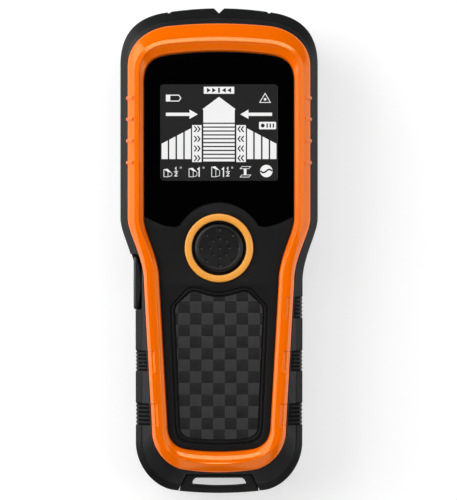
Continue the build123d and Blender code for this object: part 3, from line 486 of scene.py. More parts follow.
pad_plastic = moulded("pad_plastic", (0.06, 0.06, 0.063), 0.6, grain=1800, grain_depth=0.00005, tint=0.2)
lcd_back = moulded("lcd_back", (0.022, 0.022, 0.023), 0.18, grain=900, grain_depth=0.000001, tint=0.08,
                   spread=0.03, coat=0.6, coat_roughness=0.03, specular=0.3)
lcd_light = lit_segment("lcd_light", (1.0, 1.0, 1.0), 0.82)
white_plastic = moulded("white_plastic", (0.75, 0.75, 0.72), 0.5)
grey_plastic = moulded("grey_plastic", (0.1, 0.1, 0.105), 0.5)
board_green = moulded("board_green", (0.015, 0.14, 0.05), 0.35, grain=700, grain_depth=0.00003, tint=0.25)
chip_black = moulded("chip_black", (0.02, 0.02, 0.02), 0.55)
foam = moulded("foam", (0.04, 0.04, 0.042), 0.9, grain=1500, grain_depth=0.0001)
battery_jacket = moulded("battery_jacket", (0.10, 0.11, 0.13), 0.35, coat=0.3)
lead_red_cover = moulded("lead_red_cover", (0.5, 0.015, 0.012), 0.4)
lead_black_cover = moulded("lead_black_cover", (0.02, 0.02, 0.02), 0.4)
steel = metal("screw_steel", (0.55, 0.55, 0.57), 0.28)
nickel = metal("nickel", (0.72, 0.71, 0.68), 0.2)
copper = metal("copper", (0.85, 0.38, 0.18), 0.3)
woven = weave("woven_inlay", TILE)

CAD_MATERIALS = (
    (shell, "rear_shell front_shell battery_door"),
    (rubber, "lanyard_tab"),
    (key_rubber, "side_key"),
    (pad_plastic, "glide_pads"),
    (steel, "case_screws board_screws"),
    (foam, "window_gasket battery_pad"),
    (lcd_back, "lcd_glass"),
    (white_plastic, "lcd_backlight lcd_contact_strip coil_former mode_switch_plunger side_switch_plunger"),
    (grey_plastic, "lcd_holder sounder contact_block"),
    (board_green, "main_board sensor_board"),
    (chip_black, "microcontroller sensor_chip board_socket board_header mode_switch_base side_switch_base"),
    (nickel, "capacitors battery_terminals battery_contacts"),
    (copper, "coil_winding sensor_plates"),
    (battery_jacket, "battery"),
    (lead_red_cover, "lead_red"),
    (lead_black_cover, "lead_black"),
)
for mat, names in CAD_MATERIALS:
    for node in names.split():
        paint(frame["nodes"][node], mat)


def soften(node, width):
    """Rounds the moulded edges of a CAD node that shows, with modifiers only."""
    obj = frame["nodes"][node]
    weld = obj.modifiers.new("weld", "WELD")
    weld.merge_threshold = 1e-6
    bevel = obj.modifiers.new("bevel", "BEVEL")
    bevel.width = width * MM
    bevel.segments = 3
    bevel.limit_method = "ANGLE"
    bevel.angle_limit = math.radians(30)
    bevel.harden_normals = True
    bevel.use_clamp_overlap = True


# ---------------------------- rubber bumper
def plateau(values, low, high, ramp):
    """0 outside low and high, 1 inside, with a slope of length ramp at both ends."""
    return np.clip((values - low) / ramp, 0, 1) * np.clip((high - values) / ramp, 0, 1)


def clamp_notches(points):
    """Cuts the marking notches into the head's end: nothing stands beyond their two sloping faces."""
    for x, half_width, depth in NOTCHES:
        tip = HALF_LENGTH - depth - 0.016 * abs(x) ** 1.35
        limit = tip + np.abs(points[:, 0] - x) * depth / half_width
        inside = (points[:, 1] > limit) & (points[:, 1] > 0)
        points[inside, 1] = limit[inside]


def rib_recess(points):
    """How deep each point lies in the seat of a grip rib group, from 0 to 1, with sloping ends."""
    depth = np.zeros(len(points))
    for side, groups in RIB_GROUPS.items():
        for foot, top in groups:
            ramp = plateau(points[:, 1], foot, top, RIB_RAMP)
            depth = np.maximum(depth, ramp * (np.sign(points[:, 0]) == side))
    return depth


def bevel_height(x, y):
    """The bevel beside the grip: where it begins and ends at this y, and its height at x."""
    share = (y - WAIST_FOOT_Y) / (BODY.tail_y - WAIST_FOOT_Y)
    edge = BODY.grip + (BODY.tail - BODY.grip) * share
    foot = FOOT.grip + (FOOT.tail - FOOT.grip) * (y - WAIST_FOOT_Y) / (FOOT.tail_y - WAIST_FOOT_Y)
    reach = (edge - abs(x)) / (edge - foot)
    return edge, foot, SHOULDER_Z + (FACE_Z - SHOULDER_Z) * reach


BED_FACES = ((1, 3, 7, 5), (0, 4, 6, 2), (0, 1, 5, 4), (2, 6, 7, 3), (0, 2, 3, 1), (4, 5, 7, 6))


def rib_shade_beds():
    """A thin near-black sheet on the bevel under each row of ribs: painted shade for the gaps between the
    ribs.
    """
    vertices, faces = [], []
    for side, groups in RIB_GROUPS.items():
        for foot_y, top_y in groups:
            base = len(vertices)
            for y in (foot_y + 0.1, top_y - 0.1):
                edge, foot, _ = bevel_height(0, y)
                for x in (foot + 0.3, edge - 1.0):
                    z = bevel_height(x, y)[2]
                    vertices += [(side * x, y, z - 0.2), (side * x, y, z + 0.07)]
            faces += [[base + corner for corner in corners] for corners in BED_FACES]
    obj = new_object("rib_shade_beds", vertices, faces, smooth=False)
    paint(obj, rib_gap_shade_black)
    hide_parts("rubber_bumper")


def grip_rib(side, y, base):
    """One rib's points and faces, from beside the bezel, over the shoulder and down the wall."""
    edge, foot, _ = bevel_height(0, y)
    route = [(edge - 0.02, 15.2), (edge - 0.02, SHOULDER_Z - 1.3), (edge - 0.42, SHOULDER_Z + 0.45)]
    route += [(x, bevel_height(x, y)[2] + 0.38) for x in np.linspace(edge - 1.2, foot + 0.55, 5)]
    route = np.array(route)
    tangents = np.gradient(route, axis=0)
    tangents /= np.linalg.norm(tangents, axis=1)[:, None]
    outward = np.column_stack([tangents[:, 1], -tangents[:, 0]])
    share_left = np.ones(len(route))  # of the rib's height, which runs out at both ends
    share_left[0], share_left[-1] = 0.15, 0.55
    vertices, faces = [], []
    for point, normal, left in zip(route, outward, share_left):
        for turn in np.linspace(0, math.pi, RIB_STEPS):
            place = point + normal * RIB_HEIGHT * (math.sin(turn) ** 0.6 * left - 1)
            vertices.append((side * place[0], y + RIB_WIDTH / 2 * math.cos(turn), place[1]))
        deep = point - normal * (RIB_HEIGHT + 0.5)
        vertices.append((side * deep[0], y - RIB_WIDTH / 2, deep[1]))
        vertices.append((side * deep[0], y + RIB_WIDTH / 2, deep[1]))
    ring = RIB_STEPS + 2
    last = base + (len(route) - 1) * ring
    for here in range(base, last, ring):
        for i in range(ring):
            j = (i + 1) % ring
            faces.append((here + i, here + j, here + ring + j, here + ring + i))
    faces.append([base + i for i in range(ring)][::-1])
    faces.append([last + i for i in range(ring)])
    return vertices, faces


def grip_ribs():
    """The rows of short rubber ribs on both sides of the grip."""
    vertices, faces = [], []
    for side, groups in RIB_GROUPS.items():
        for foot_y, top_y in groups:
            usable = top_y - foot_y - 2 * RIB_RAMP
            for tooth in range(RIB_TEETH):
                y = foot_y + RIB_RAMP + usable * (tooth + 0.5) / RIB_TEETH
                rib_vertices, rib_faces = grip_rib(side, y, len(vertices))
                vertices += rib_vertices
                faces += rib_faces
    obj = new_object("grip_ribs", vertices, faces)
    sharpen(obj, 40)
    paint(obj, rubber)
    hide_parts("rubber_bumper")


def tab_seat(y):
    """Half the width of the lanyard tab's seat, at a place in the tail."""
    (top_half, top_y), (foot_half, foot_y) = TAB_SEAT
    return top_half + (top_y - y) * (foot_half - top_half) / (top_y - foot_y)


def kept_runs(keep):
    """The index lists of the stretches of a closed ring that are kept."""
    count = len(keep)
    runs = []
    for start in (i for i in range(count) if keep[i] and not keep[i - 1]):
        run = [start]
        while keep[(run[-1] + 1) % count]:
            run.append((run[-1] + 1) % count)
        runs.append(run)
    return runs


def bumper():
    """The rubber band round the front: a wall, a rounded shoulder and a slope up over the shell's edge."""
    body, seam, foot = BODY.ring(), SEAM.ring(), FOOT.ring()
    width = np.linalg.norm(foot - body, axis=1)
    reach = np.linalg.norm(seam - body, axis=1) / width
    lip = reach + LIP / width
    slope_rise = FACE_Z - SHOULDER_Z
    stations = [at(seam, SPLIT_Z), at(body, SPLIT_Z), at(body, SPLIT_Z + 1.2), at(body, SHOULDER_Z - 2.5),
                at(body, SHOULDER_Z)]
    for share in (0.25, 0.5, 0.75):
        stations.append(at(mix(body, foot, reach * share), SHOULDER_Z + slope_rise * reach * share))
    stations.append(at(mix(body, foot, lip), SHOULDER_Z + slope_rise * lip + 0.03))
    stations.append(at(mix(body, foot, lip), SHOULDER_Z + slope_rise * lip - 0.05))
    stations.append(at(seam, SHOULDER_Z + slope_rise * reach - 0.1))
    stations.append(at(seam, SHOULDER_Z - 1.5))
    rings = rounded(stations, [0.1, 0.35, 0.3, 0.6, 1.5, 0.4, 0.4, 0.4, 0.02, 0.02, 0.02, 0.05])
    for ring in rings:
        clamp_notches(ring)
        on_wall = np.clip((ring[:, 2] - SPLIT_Z - 0.9) / 0.8, 0, 1)
        outside = np.clip((np.abs(ring[:, 0]) - np.abs(seam[:, 0]) - 0.05) / 0.4, 0, 1)
        ring[:, 0] -= np.sign(ring[:, 0]) * RIB_SEAT_DEPTH * rib_recess(ring) * on_wall * outside
        at_tab = (ring[:, 1] < TAIL_Y) & (np.abs(ring[:, 0]) < tab_seat(ring[:, 1]))
        ring[at_tab, 0] = np.sign(ring[at_tab, 0] + 1e-6) * tab_seat(ring[at_tab, 1])
    key = (body[:, 0] < 0) & (body[:, 1] > KEY_GAP[0]) & (body[:, 1] < KEY_GAP[1])
    tab = (body[:, 1] < TAIL_Y) & (np.abs(body[:, 0]) < 11.5)
    obj = loft_runs("rubber_bumper_skin", rings, kept_runs(~(key | tab)))
    sharpen(obj, 50)
    paint(obj, rubber)
    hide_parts("rubber_bumper")


# ---------------------------- bezel
def soft_step(values, start, end):
    """0 before start and 1 after end, with soft ends between."""
    share = np.clip((values - start) / (end - start), 0, 1)
    return share * share * (3 - 2 * share)


def add_head_ribs(ring, side):
    """Lifts the small ribs on the outer bevel of the head."""
    on_bevel = (np.sign(ring[:, 0]) == side) & (np.abs(ring[:, 0]) > RIDGE_OUTER.head)
    on_bevel &= ring[:, 2] > FACE_Z + 0.2
    for y in HEAD_RIBS:
        across = (ring[:, 1] - y) / HEAD_RIB_HALF_LENGTH
        lift = np.sqrt(np.clip(1 - across ** 2, 0, 1)) * on_bevel
        ring[:, 0] += side * HEAD_RIB_OUT * lift
        ring[:, 2] += HEAD_RIB_UP * lift * (ring[:, 2] < RIDGE_Z - 0.4)


def sink_pockets(ring, outer, side):
    """Sinks a shallow pocket into the bezel's edge beside each group of grip ribs."""
    for foot, top in RIB_GROUPS[side]:
        ramp = plateau(ring[:, 1], foot, top, POCKET_RAMP)
        inset = np.abs(outer[:, 0]) - np.abs(ring[:, 0])
        near = np.clip((POCKET_WIDTH - inset) / POCKET_RAMP, 0, 1) * (np.sign(ring[:, 0]) == side)
        ring[:, 2] -= POCKET_DEPTH * ramp * near * (ring[:, 2] > FACE_Z + 1.0)


def bezel():
    """The orange frame: an outer bevel, a narrow ridge, an inner slope and a short inner wall.

    At the grip its bevel is narrow and its crown flat, and at the tail its edges are softer.
    """
    outer, inner = BEZEL_OUTER.ring(), BEZEL_INNER.ring()
    ridge_out, ridge_in = RIDGE_OUTER.ring(), RIDGE_INNER.ring()
    tail = soft_step(-outer[:, 1], 56, 66)
    grip = soft_step(-outer[:, 1], -WAIST_TOP_Y, -WAIST_FOOT_Y)
    edge_z = FACE_Z + 0.75 + 0.9 * grip
    shoulder_z = RIDGE_Z - 0.3 + 0.2 * grip
    top_z = RIDGE_Z - 0.02
    inner_z = top_z - 0.3 * grip
    crest = 0.85 - 0.47 * grip  # where the highest line runs, from the ridge's outer to its inner edge
    bevel = [at(mix(outer, ridge_out, share), edge_z + (shoulder_z - edge_z) * share ** 0.85)
             for share in np.linspace(0.12, 0.88, 9)]
    crown = [at(mix(ridge_out, ridge_in, share), shoulder_z + (top_z - shoulder_z) * share / crest)
             for share in (0.08, 0.16, 0.24, 0.32)]
    stations = [
        at(outer, FACE_Z),
        at(outer, edge_z),
        *bevel,
        at(ridge_out, shoulder_z),
        *crown,
        at(mix(ridge_out, ridge_in, crest), top_z),
        at(ridge_in, inner_z),
        at(mix(ridge_in, inner, 0.1), inner_z - 0.43 + 0.2 * grip),
        at(mix(ridge_in, inner, 0.84), FACE_Z + 2.2 + 0.4 * grip),
        at(inner, FACE_Z + 1.1 + 0.4 * grip),
        at(inner, FACE_Z),
    ]
    soft = 0.3 + 1.4 * tail
    radii = [0.1, soft] + [0.0] * len(bevel) + [soft] + [0.0] * len(crown)
    radii += [0.35, soft, soft, soft + 0.05, 0.25, 0.1]
    rings = rounded(stations, radii, steps=4)
    for ring in rings:
        for side in (-1, 1):
            add_head_ribs(ring, side)
            sink_pockets(ring, outer, side)
    obj = loft("orange_bezel_skin", rings)
    sharpen(obj, 50)
    paint(obj, orange)
    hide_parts("orange_bezel")


# ---------------------------- display window and panel
def circle(x, y, radius, count=160):
    """Points round a circle."""
    turn = np.linspace(0, 2 * np.pi, count, endpoint=False)
    return np.column_stack([x + radius * np.cos(turn), y + radius * np.sin(turn)])


def rounded_rectangle(x, y, half_x, half_y, radius, count=8):
    """Points round a rectangle with round corners, from its middle and half sizes."""
    points = []
    for corner_x, corner_y, start in ((1, 1, 0), (-1, 1, 90), (-1, -1, 180), (1, -1, 270)):
        for step in range(count + 1):
            turn = math.radians(start + 90 * step / count)
            points.append((x + corner_x * (half_x - radius) + radius * math.cos(turn),
                           y + corner_y * (half_y - radius) + radius * math.sin(turn)))
    return points


def hump(gap):
    """The lower edge of the window from left to right: two shoulders and an arch over the button."""
    arch, foot = 14.55 + gap, 12.6
    foot_y = BUTTON_Y + math.sqrt(arch ** 2 - foot ** 2)
    right = np.concatenate([
        bezier([(foot, foot_y), (13.6, foot_y - 0.9), (15.5, 7.3 + gap), (18.5, 8.3 + gap)], 12),
        bezier([(18.5, 8.3 + gap), (21.0, 9.3 + gap), (23.0, 10.6 + gap), (26.0, 11.6 + gap)], 12),
    ])
    turns = np.linspace(math.atan2(foot_y - BUTTON_Y, foot), math.pi / 2, 40, endpoint=False)[::-1]
    arc = np.column_stack([arch * np.cos(turns), BUTTON_Y + arch * np.sin(turns)])
    half = np.concatenate([arc, right])
    return np.concatenate([half[::-1] * LEFT, half])


def cut_outline(ring, edge, above):
    """The part of a closed outline above or below a line that crosses it from left to right."""
    half = ring_half(ring)
    limits = np.interp(-edge[:, 1], -half[:, 1], half[:, 0])
    crossing = edge[np.abs(edge[:, 0]) < limits]
    if above:
        kept = half[half[:, 1] > crossing[-1, 1]]
        return np.concatenate([crossing, kept[::-1], kept[1:] * LEFT])
    kept = half[half[:, 1] < crossing[-1, 1]]
    return np.concatenate([crossing, kept, (kept * LEFT)[::-1][1:]])


def ring_half(ring):
    """The right half of a closed ring, top to bottom."""
    return ring[: len(ring) // 2 + 1]


def window():
    """The gloss black lens round the display."""
    ring = BEZEL_INNER.inset(0.1).ring()
    outside = cut_outline(ring, hump(0.12), above=True)
    opening = rounded_rectangle(0, LCD_Y, LCD_HALF_X, LCD_HALF_Y, 0.9)
    obj = plate("display_window_lens", [outside, opening], WINDOW_FOOT, WINDOW_TOP, 0.12)
    paint(obj, gloss)
    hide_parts("display_window")


def inlay_outline(grow):
    """The inlay's outline, grown by an amount: a dipped top, cut corners and slightly tapered sides."""
    top, half_top, half_foot = -13.4 + grow, 14.1 + grow, 12.5 + grow
    corner = 9.4 + grow * 0.45
    shoulder, foot = (half_top - 0.9, -17.1), (half_foot, -56.6)
    low_y = -60.6 - grow
    right = np.concatenate([
        bezier([(0, -15.0 + grow), (3.4, -15.0 + grow), (5.4, top - 0.35), (7.6, top)], 14),
        bezier([(7.6, top), (8.4, top + 0.1), (9.2, top + 0.05), (corner + 0.6, top - 0.8)], 8),
        bezier([(corner + 0.6, top - 0.8), shoulder], 6),
        bezier([shoulder, (half_top - 0.2, -17.9), (half_top, -18.6), (half_top, -19.8)], 8),
        bezier([(half_top, -19.8), foot], 60),
        bezier([foot, (half_foot - 0.05, low_y + 1.0), (half_foot - 2.6, low_y + 0.2), (7.5, low_y)], 14),
        bezier([(7.5, low_y), (3.6, low_y - 0.3), (0, low_y - 0.3)], 10),
        np.array([(0, low_y - 0.3)]),
    ])
    return np.concatenate([right, right[1:-1][::-1] * LEFT])


# The double groove's section: how far out from the inlay, height and corner radius
GROOVE_STATIONS = (
    (1.95, PANEL_TOP - 0.02, 0.15), (1.78, PANEL_TOP - 0.04, 0.08), (1.55, PANEL_TOP - 0.55, 0.12),
    (1.3, PANEL_TOP - 0.5, 0.12), (1.12, PANEL_TOP - 0.02, 0.15), (0.62, PANEL_TOP - 0.02, 0.15),
    (0.45, PANEL_TOP - 0.5, 0.12), (0.15, PANEL_TOP - 0.55, 0.12), (0.0, PANEL_TOP - 0.6, 0.05),
    (0.0, FACE_Z + 0.1, 0.05), (1.95, FACE_Z + 0.1, 0.05),
)


def front_panel():
    """The matte panel below the window, with a double groove round the inlay."""
    ring = BEZEL_INNER.inset(0.1).ring()
    outside = cut_outline(ring, hump(-0.02), above=False)
    loops = [outside, circle(0, BUTTON_Y, RING_OUTER + 0.1), inlay_outline(1.95)]
    obj = plate("front_panel_skin", loops, FACE_Z + 0.05, PANEL_TOP, 0.1)
    paint(obj, panel)
    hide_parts("front_panel")
    stations = [at(inlay_outline(grow), z) for grow, z, _ in GROOVE_STATIONS]
    rings = rounded(stations, [radius for _, _, radius in GROOVE_STATIONS], steps=4)
    groove = loft("front_panel_groove", rings)
    sharpen(groove, 50)
    paint(groove, panel)
    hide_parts("front_panel")


def weave_lift(x, y):
    """How far the woven surface crowns at a place: squares run along or across in turn."""
    cell_x, cell_y = (x + TILE / 2) / TILE, (y - TILE_START_Y) / TILE
    runs_along = (math.floor(cell_x) + math.floor(cell_y)) % 2
    across, end = (cell_x % 1.0, cell_y % 1.0) if runs_along else (cell_y % 1.0, cell_x % 1.0)
    return WEAVE_CROWN * math.sin(math.pi * across) ** 0.6 * (0.55 + 0.45 * math.sin(math.pi * end))


def inlay():
    """The woven insert: a fine grid whose squares crown one way or the other.

    The grid's rows bend to the outline's dipped top and rounded foot.
    """
    right = ring_half(inlay_outline(-0.02))
    top_y, foot_y = right[:, 1].max(), right[:, 1].min()
    dip = right[right[:, 1] > -17.0]
    sides = right[right[:, 0] > DIP_HALF]
    sides = sides[np.argsort(sides[:, 1])]
    toe = right[right[:, 1] < -57][::-1]
    rows, columns = 260, 150
    vertices, faces = [], []
    for y_mid in foot_y + (top_y - foot_y) * np.arange(rows + 1) / rows:
        half = np.interp(y_mid, sides[:, 1], sides[:, 0], left=sides[0, 0], right=DIP_HALF)
        rise = np.clip((y_mid + 22.0) / (top_y + 22.0), 0, 1) ** 2
        sink = np.clip((-52.0 - y_mid) / (-52.0 - foot_y), 0, 1) ** 2
        for column in range(columns + 1):
            x = (2 * column / columns - 1) * half
            y = y_mid
            if abs(x) < DIP_HALF:
                roof = np.interp(abs(x), dip[:, 0], dip[:, 1]) if abs(x) < dip[-1, 0] else y_mid
                y += rise * (min(roof, top_y) - top_y)
            if abs(x) < sides[0, 0]:
                y += sink * (np.interp(abs(x), toe[:, 0], toe[:, 1]) - foot_y)
            vertices.append((x, y, PANEL_TOP - 0.12 + weave_lift(x, y)))
    for row in range(rows):
        for column in range(columns):
            a = row * (columns + 1) + column
            faces.append((a, a + 1, a + columns + 2, a + columns + 1))
    border = list(range(columns + 1))
    border += [row * (columns + 1) + columns for row in range(1, rows + 1)]
    border += [rows * (columns + 1) + column for column in range(columns - 1, -1, -1)]
    border += [row * (columns + 1) for row in range(rows - 1, 0, -1)]
    start = len(vertices)
    vertices += [(vertices[i][0], vertices[i][1], FACE_Z + 0.5) for i in border]
    for k, here in enumerate(border):
        k2 = (k + 1) % len(border)
        faces.append((border[k2], here, start + k, start + k2))
    faces.append([start + k for k in range(len(border))][::-1])
    obj = new_object("grip_inlay_weave", vertices, faces)
    sharpen(obj, 60)
    paint(obj, woven)
    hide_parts("grip_inlay")


# ---------------------------- button and ring
def button_ring():
    """The light orange ring, with a flat crown and well rounded edges."""
    foot, top = FACE_Z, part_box("button_ring")[1].z / MM
    profile = rounded_profile(
        [(RING_INNER, foot), (RING_OUTER, foot), (RING_OUTER, top - 0.2), (RING_OUTER - 0.5, top),
         (RING_INNER + 0.4, top), (RING_INNER, top - 0.3)],
        [0.05, 0.05, 0.4, 0.6, 0.5, 0.3],
    )
    obj = lathe("button_ring_skin", profile, 0, BUTTON_Y)
    sharpen(obj, 50)
    paint(obj, ring_orange)
    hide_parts("button_ring")


def cap_height(x, y, radius, dimples):
    """The button's surface: a shallow dish inside a bead, a rounded edge and the dimples."""
    edge = BUTTON_RADIUS - radius
    dish = -0.22 * (1 - (radius / DISH_RADIUS) ** 2) if radius < DISH_RADIUS else 0.0
    bead = 0.12 * math.exp(-((radius - DISH_RADIUS - 0.05) / 0.28) ** 2)
    inward = max(0.0, 1 - edge / CAP_ROUNDING)
    drop = 0.55 * (1 - math.sqrt(1 - inward ** 2))
    near = np.min(np.hypot(dimples[:, 0] - x, dimples[:, 1] - y))
    pit = 0.42 * max(0.0, 1 - (near / DIMPLE_RADIUS) ** 2) ** 0.8
    return BUTTON_TOP - 0.12 + dish + bead - drop - pit


def mode_button():
    """The round button: a shallow dish inside a soft rim, with a dimple pattern for the thumb."""
    rings, spokes = 110, 240
    dimples = [(0.0, 0.0)]
    for radius in (3.05, 5.9):
        for step in range(8):
            turn = math.radians(45 * step)
            dimples.append((radius * math.cos(turn), radius * math.sin(turn)))
    dimples = np.array(dimples)
    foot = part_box("mode_button")[0].z / MM + 0.4
    vertices, faces = [(0, BUTTON_Y, BUTTON_TOP - 0.55)], []
    for k in range(1, rings + 1):
        radius = BUTTON_RADIUS * (k / rings) ** 0.92
        for i in range(spokes):
            turn = 2 * math.pi * i / spokes
            x, y = radius * math.cos(turn), radius * math.sin(turn)
            vertices.append((x, y + BUTTON_Y, cap_height(x, y, radius, dimples)))
    for i in range(spokes):
        faces.append((0, 1 + i, 1 + (i + 1) % spokes))
    start = len(vertices)
    last = start - spokes
    vertices += [(x, y, foot) for x, y, _ in vertices[last:]]
    for row in range(1, start, spokes):
        for i in range(spokes):
            a, b = row + i, row + (i + 1) % spokes
            faces.append((a, a + spokes, b + spokes, b))
    faces.append([start + i for i in range(spokes)][::-1])
    obj = new_object("mode_button_cap", vertices, faces, "mode_button")
    sharpen(obj, 60)
    paint(obj, button_rubber)
    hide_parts("mode_button")


# ---------------------------- display
def box_shape(x0, y0, x1, y1):
    """A rectangle from two of its corners."""
    return [(x0, y0), (x1, y0), (x1, y1), (x0, y1)]


def stroke(points, width):
    """A thin line with square ends as a closed shape, for icons and numerals."""
    points = [np.array(p, float) for p in points]
    left, right = [], []
    for k, point in enumerate(points):
        before = unit(point - points[k - 1]) if k else unit(points[1] - point)
        after = unit(points[k + 1] - point) if k + 1 < len(points) else before
        normal = unit(np.array([-(before + after)[1], (before + after)[0]]))
        reach = width / 2 / max(0.4, abs(float(np.dot(normal, np.array([-before[1], before[0]])))))
        left.append(tuple(point + normal * reach))
        right.append(tuple(point - normal * reach))
    return left + right[::-1]


def mirrored(shape):
    """The same shape on the other side of the middle."""
    return [(-x, y) for x, y in shape][::-1]


def half_numeral(x, y):
    """A small one over two."""
    return [
        stroke([(x - 0.35, y + 1.25), (x, y + 1.6), (x, y + 0.55)], 0.26),
        stroke([(x - 0.7, y + 0.28), (x + 0.7, y + 0.28)], 0.208),
        stroke([(x - 0.4, y - 0.25), (x, y - 0.02), (x + 0.38, y - 0.3), (x - 0.4, y - 1.15),
                (x + 0.5, y - 1.15)], 0.26),
    ]


def depth_block(x, y, width, height):
    """A little block in three-quarter view: a front face, a side and a solid slanted top."""
    line, slant = 0.17, 0.85
    corner, back, top = x + width * 0.52, x + width, y + height
    roof = [(x - 0.1, top + slant * 0.75), (x + width * 0.5, top - 0.15), (back, top - 0.5),
            (x + width * 0.45, top + slant)]
    return [
        stroke([(x, y), (corner, y)], line),
        stroke([(corner, y), (corner, top)], line),
        stroke([(x, top + slant * 0.75), (x, y)], line * 1.3),
        roof,
        stroke([(corner, y), (back, y + 0.35)], line),
        stroke([(back, y + 0.35), (back, top - 0.5)], line),
    ]


def middle_figure():
    """The big arrow over its ten bars, the box above it and the small box beside it."""
    half, foot, pitch, gap = 5.05, 41.2, 1.25, 0.42
    shapes = [[(0, 49.5), (-5.25, 45.6), (-5.25, 45.35), (-half, 45.35), (-half, foot), (half, foot),
               (half, 45.35), (5.25, 45.35), (5.25, 45.6)]]
    for bar in range(10):
        top = foot - gap - pitch * bar
        shapes.append(box_shape(-half, top - pitch + gap, half, top))
    shapes.append(box_shape(-4.9, 50.5, 4.9, 52.75))
    shapes.append(rounded_rectangle(15.65, 40.25, 2.75, 1.2, 0.35, 4))
    return shapes


def side_figures():
    """The rising bars, the tall boxes and the arrows, the same on both sides."""
    shapes = []
    for left, right in ((-18.5, -16.5), (-16.02, -14.02), (-13.52, -11.52), (-11.02, -9.05)):
        left_top, right_top = (34.4 + (x + 18.5) / 9.55 * 5.0 for x in (left, right))
        bar = [(left, 29.45), (right, 29.45), (right, right_top), (left, left_top)]
        shapes += [bar, mirrored(bar)]
    tall_box = box_shape(-8.65, 28.5, -5.6, 40.4)
    arrow = [(-17.1, 43.35), (-9.5, 43.35), (-9.5, 42.4), (-6.85, 43.88), (-9.5, 45.4), (-9.5, 44.4),
             (-17.1, 44.4)]
    return shapes + [tall_box, mirrored(tall_box), arrow, mirrored(arrow)]


def icons():
    """The battery level, a plain three-sided icon, the depths with their numbers, a girder and a disc."""
    shapes = [
        box_shape(-17.1, 48.0, -15.7, 50.2),
        stroke([(-15.8, 50.05), (-12.95, 50.05), (-12.3, 49.1), (-12.95, 48.15), (-15.8, 48.15)], 0.3),
        stroke([(14.85, 50.6), (16.55, 47.7), (13.1, 47.7), (14.85, 50.6), (16.0, 48.7)], 0.24),
        circle(14.85, 48.7, 0.42, 20),
    ]
    for x, height in ((-17.75, 1.75), (-9.65, 2.05), (-2.35, 2.55)):
        shapes += depth_block(x, 23.75, 2.55, height)
    shapes += half_numeral(-13.85, 25.15)
    for x in (-6.4, 1.45):
        shapes.append(stroke([(x - 0.55, 26.1), (x, 26.6), (x, 23.7)], 0.36))
    shapes += half_numeral(2.85, 25.15)
    for x in (-12.55, -5.2, 4.05):
        shapes += [box_shape(x, 26.4, x + 0.14, 27.0), box_shape(x + 0.3, 26.4, x + 0.44, 27.0)]
    for y in (26.35, 23.65):
        flange = [(6.8, y), (9.6, y), (10.2, y + 0.7), (7.4, y + 0.7), (6.8, y), (8.2, y)]
        shapes.append(stroke(flange, 0.17))
    shapes.append(box_shape(8.0, 24.3, 8.85, 26.4))
    shapes.append(circle(15.25, 25.6, 2.0, 64))
    return shapes


def dark_marks():
    """The marks on the lit boxes: arrow heads at a bar, chevrons, a dot with bars and a wave."""
    shapes = []
    for side in (-1, 1):
        for x in (3.9, 2.2):
            shapes.append([(side * x, 50.85), (side * (x - 1.25), 51.62), (side * x, 52.4)][::side])
        for y in (29.75, 32.85, 35.95, 39.1):
            for tip in (6.15, 7.2):
                end = tip + 0.75
                shapes.append(stroke([(side * end, y - 0.95), (side * tip, y), (side * end, y + 0.95)], 0.4))
    shapes.append(box_shape(-0.3, 50.85, 0.3, 52.4))
    shapes.append(circle(14.1, 40.25, 0.62, 24))
    for x in (15.3, 16.3, 17.3):
        shapes.append(box_shape(x, 39.6, x + 0.45, 40.9))
    wave = [(15.25 + x, 25.6 + 0.5 * math.sin(x * math.pi / 1.9)) for x in np.linspace(-1.9, 1.9, 25)]
    shapes.append(stroke(wave, 0.5))
    return shapes


def display():
    """The display's dark field, its lit segments and the dark marks on them."""
    field_z = WINDOW_TOP - 0.16
    outline = rounded_rectangle(0, LCD_Y, LCD_HALF_X + 0.3, LCD_HALF_Y + 0.3, 1.0)
    field = plate("display_field", [outline], WINDOW_FOOT + 0.2, field_z, 0.02)
    paint(field, lcd_back)
    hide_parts("display_window")

    lit = middle_figure() + side_figures() + icons()
    lit_z = field_z + 0.03
    segments = prisms("display_segments", lit, field_z - 0.01, lit_z)
    paint(segments, lcd_light)
    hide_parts("display_window")

    marks = prisms("display_marks", dark_marks(), lit_z - 0.01, lit_z + 0.03)
    paint(marks, lcd_back)
    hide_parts("display_window")


bumper()
rib_shade_beds()
grip_ribs()
bezel()
window()
front_panel()
inlay()
button_ring()
mode_button()
display()
for node, width in (("rear_shell", 0.3), ("front_shell", 0.06), ("lanyard_tab", 0.35), ("side_key", 0.3),
                    ("battery_door", 0.2)):
    soften(node, width)


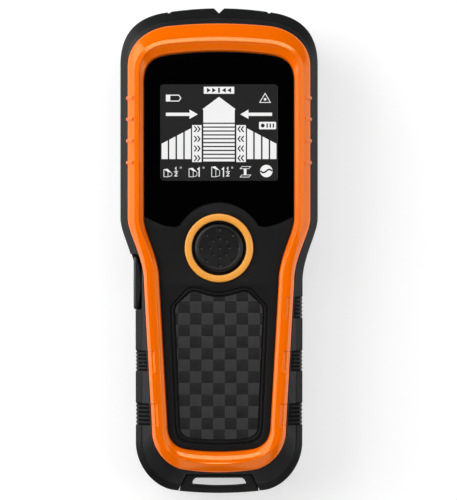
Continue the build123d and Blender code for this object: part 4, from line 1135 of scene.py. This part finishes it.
# ---------------------------- floor, light and camera
def floor():
    """A pale floor with a weak glow, so that it stays nearly white in the object's shadow."""
    mesh = bpy.data.meshes.new("studio_floor")
    corners = [(-1.6, -1.6, 0), (1.6, -1.6, 0), (1.6, 1.6, 0), (-1.6, 1.6, 0)]
    mesh.from_pydata(corners, [], [(0, 1, 2, 3)])
    obj = bpy.data.objects.new("studio_floor", mesh)
    bpy.context.scene.collection.objects.link(obj)
    obj.location.z = cad_low.z - 0.0001
    finish = moulded("studio_floor_finish", (0.62, 0.62, 0.62), 0.8, grain=40, grain_depth=0.00001, tint=0.01)
    shader = finish.node_tree.nodes["Principled BSDF"]
    shader.inputs["Emission Color"].default_value = (1, 1, 1, 1)
    shader.inputs["Emission Strength"].default_value = 0.52
    paint(obj, finish)


def area_light(name, place, size, power):
    """A soft box that faces the middle of the object."""
    light = bpy.data.lights.new(name, "AREA")
    light.shape = "RECTANGLE"
    light.size, light.size_y = size
    light.energy = power
    obj = bpy.data.objects.new(name, light)
    obj.location = place
    obj.rotation_euler = (-Vector(place)).to_track_quat("-Z", "Y").to_euler()
    bpy.context.scene.collection.objects.link(obj)


def world(horizon, overhead):
    """A light tent: bright low down, where the floor ends, and dim overhead."""
    scene_world = bpy.data.worlds.new("studio")
    scene_world.use_nodes = True
    nodes, links = scene_world.node_tree.nodes, scene_world.node_tree.links
    place = nodes.new("ShaderNodeTexCoord")
    axes = nodes.new("ShaderNodeSeparateXYZ")
    fall = nodes.new("ShaderNodeMapRange")
    fall.inputs["From Min"].default_value = 0.05
    fall.inputs["From Max"].default_value = 0.5
    fall.inputs["To Min"].default_value = horizon
    fall.inputs["To Max"].default_value = overhead
    links.new(place.outputs["Generated"], axes.inputs["Vector"])
    links.new(axes.outputs["Z"], fall.inputs["Value"])
    links.new(fall.outputs["Result"], nodes["Background"].inputs["Strength"])
    bpy.context.scene.world = scene_world


def camera():
    """Straight above the face, far away with a long lens, framed as a picture 161 mm high."""
    lens, sensor, height = 200.0, 36.0, 0.1613
    data = bpy.data.cameras.new("camera")
    data.lens = lens
    data.sensor_width = sensor
    data.clip_start, data.clip_end = 0.05, 10
    obj = bpy.data.objects.new("camera", data)
    obj.location = (3.06 * MM, 0.16 * MM, FACE_Z * MM + height * lens / sensor)
    bpy.context.scene.collection.objects.link(obj)
    bpy.context.scene.camera = obj


floor()
world(0.5, 0.06)
area_light("key_left", (-0.58, 0.22, 0.38), (0.8, 0.8), 6.6)
area_light("fill_right", (0.55, 0.0, 0.40), (0.5, 0.9), 2.4)
area_light("head_light", (0.0, 0.49, 0.90), (0.7, 0.14), 2.4)
area_light("tail_light", (0.1, -0.66, 0.34), (0.7, 0.3), 0.8)
camera()
bpy.context.scene.view_settings.view_transform = "Standard"
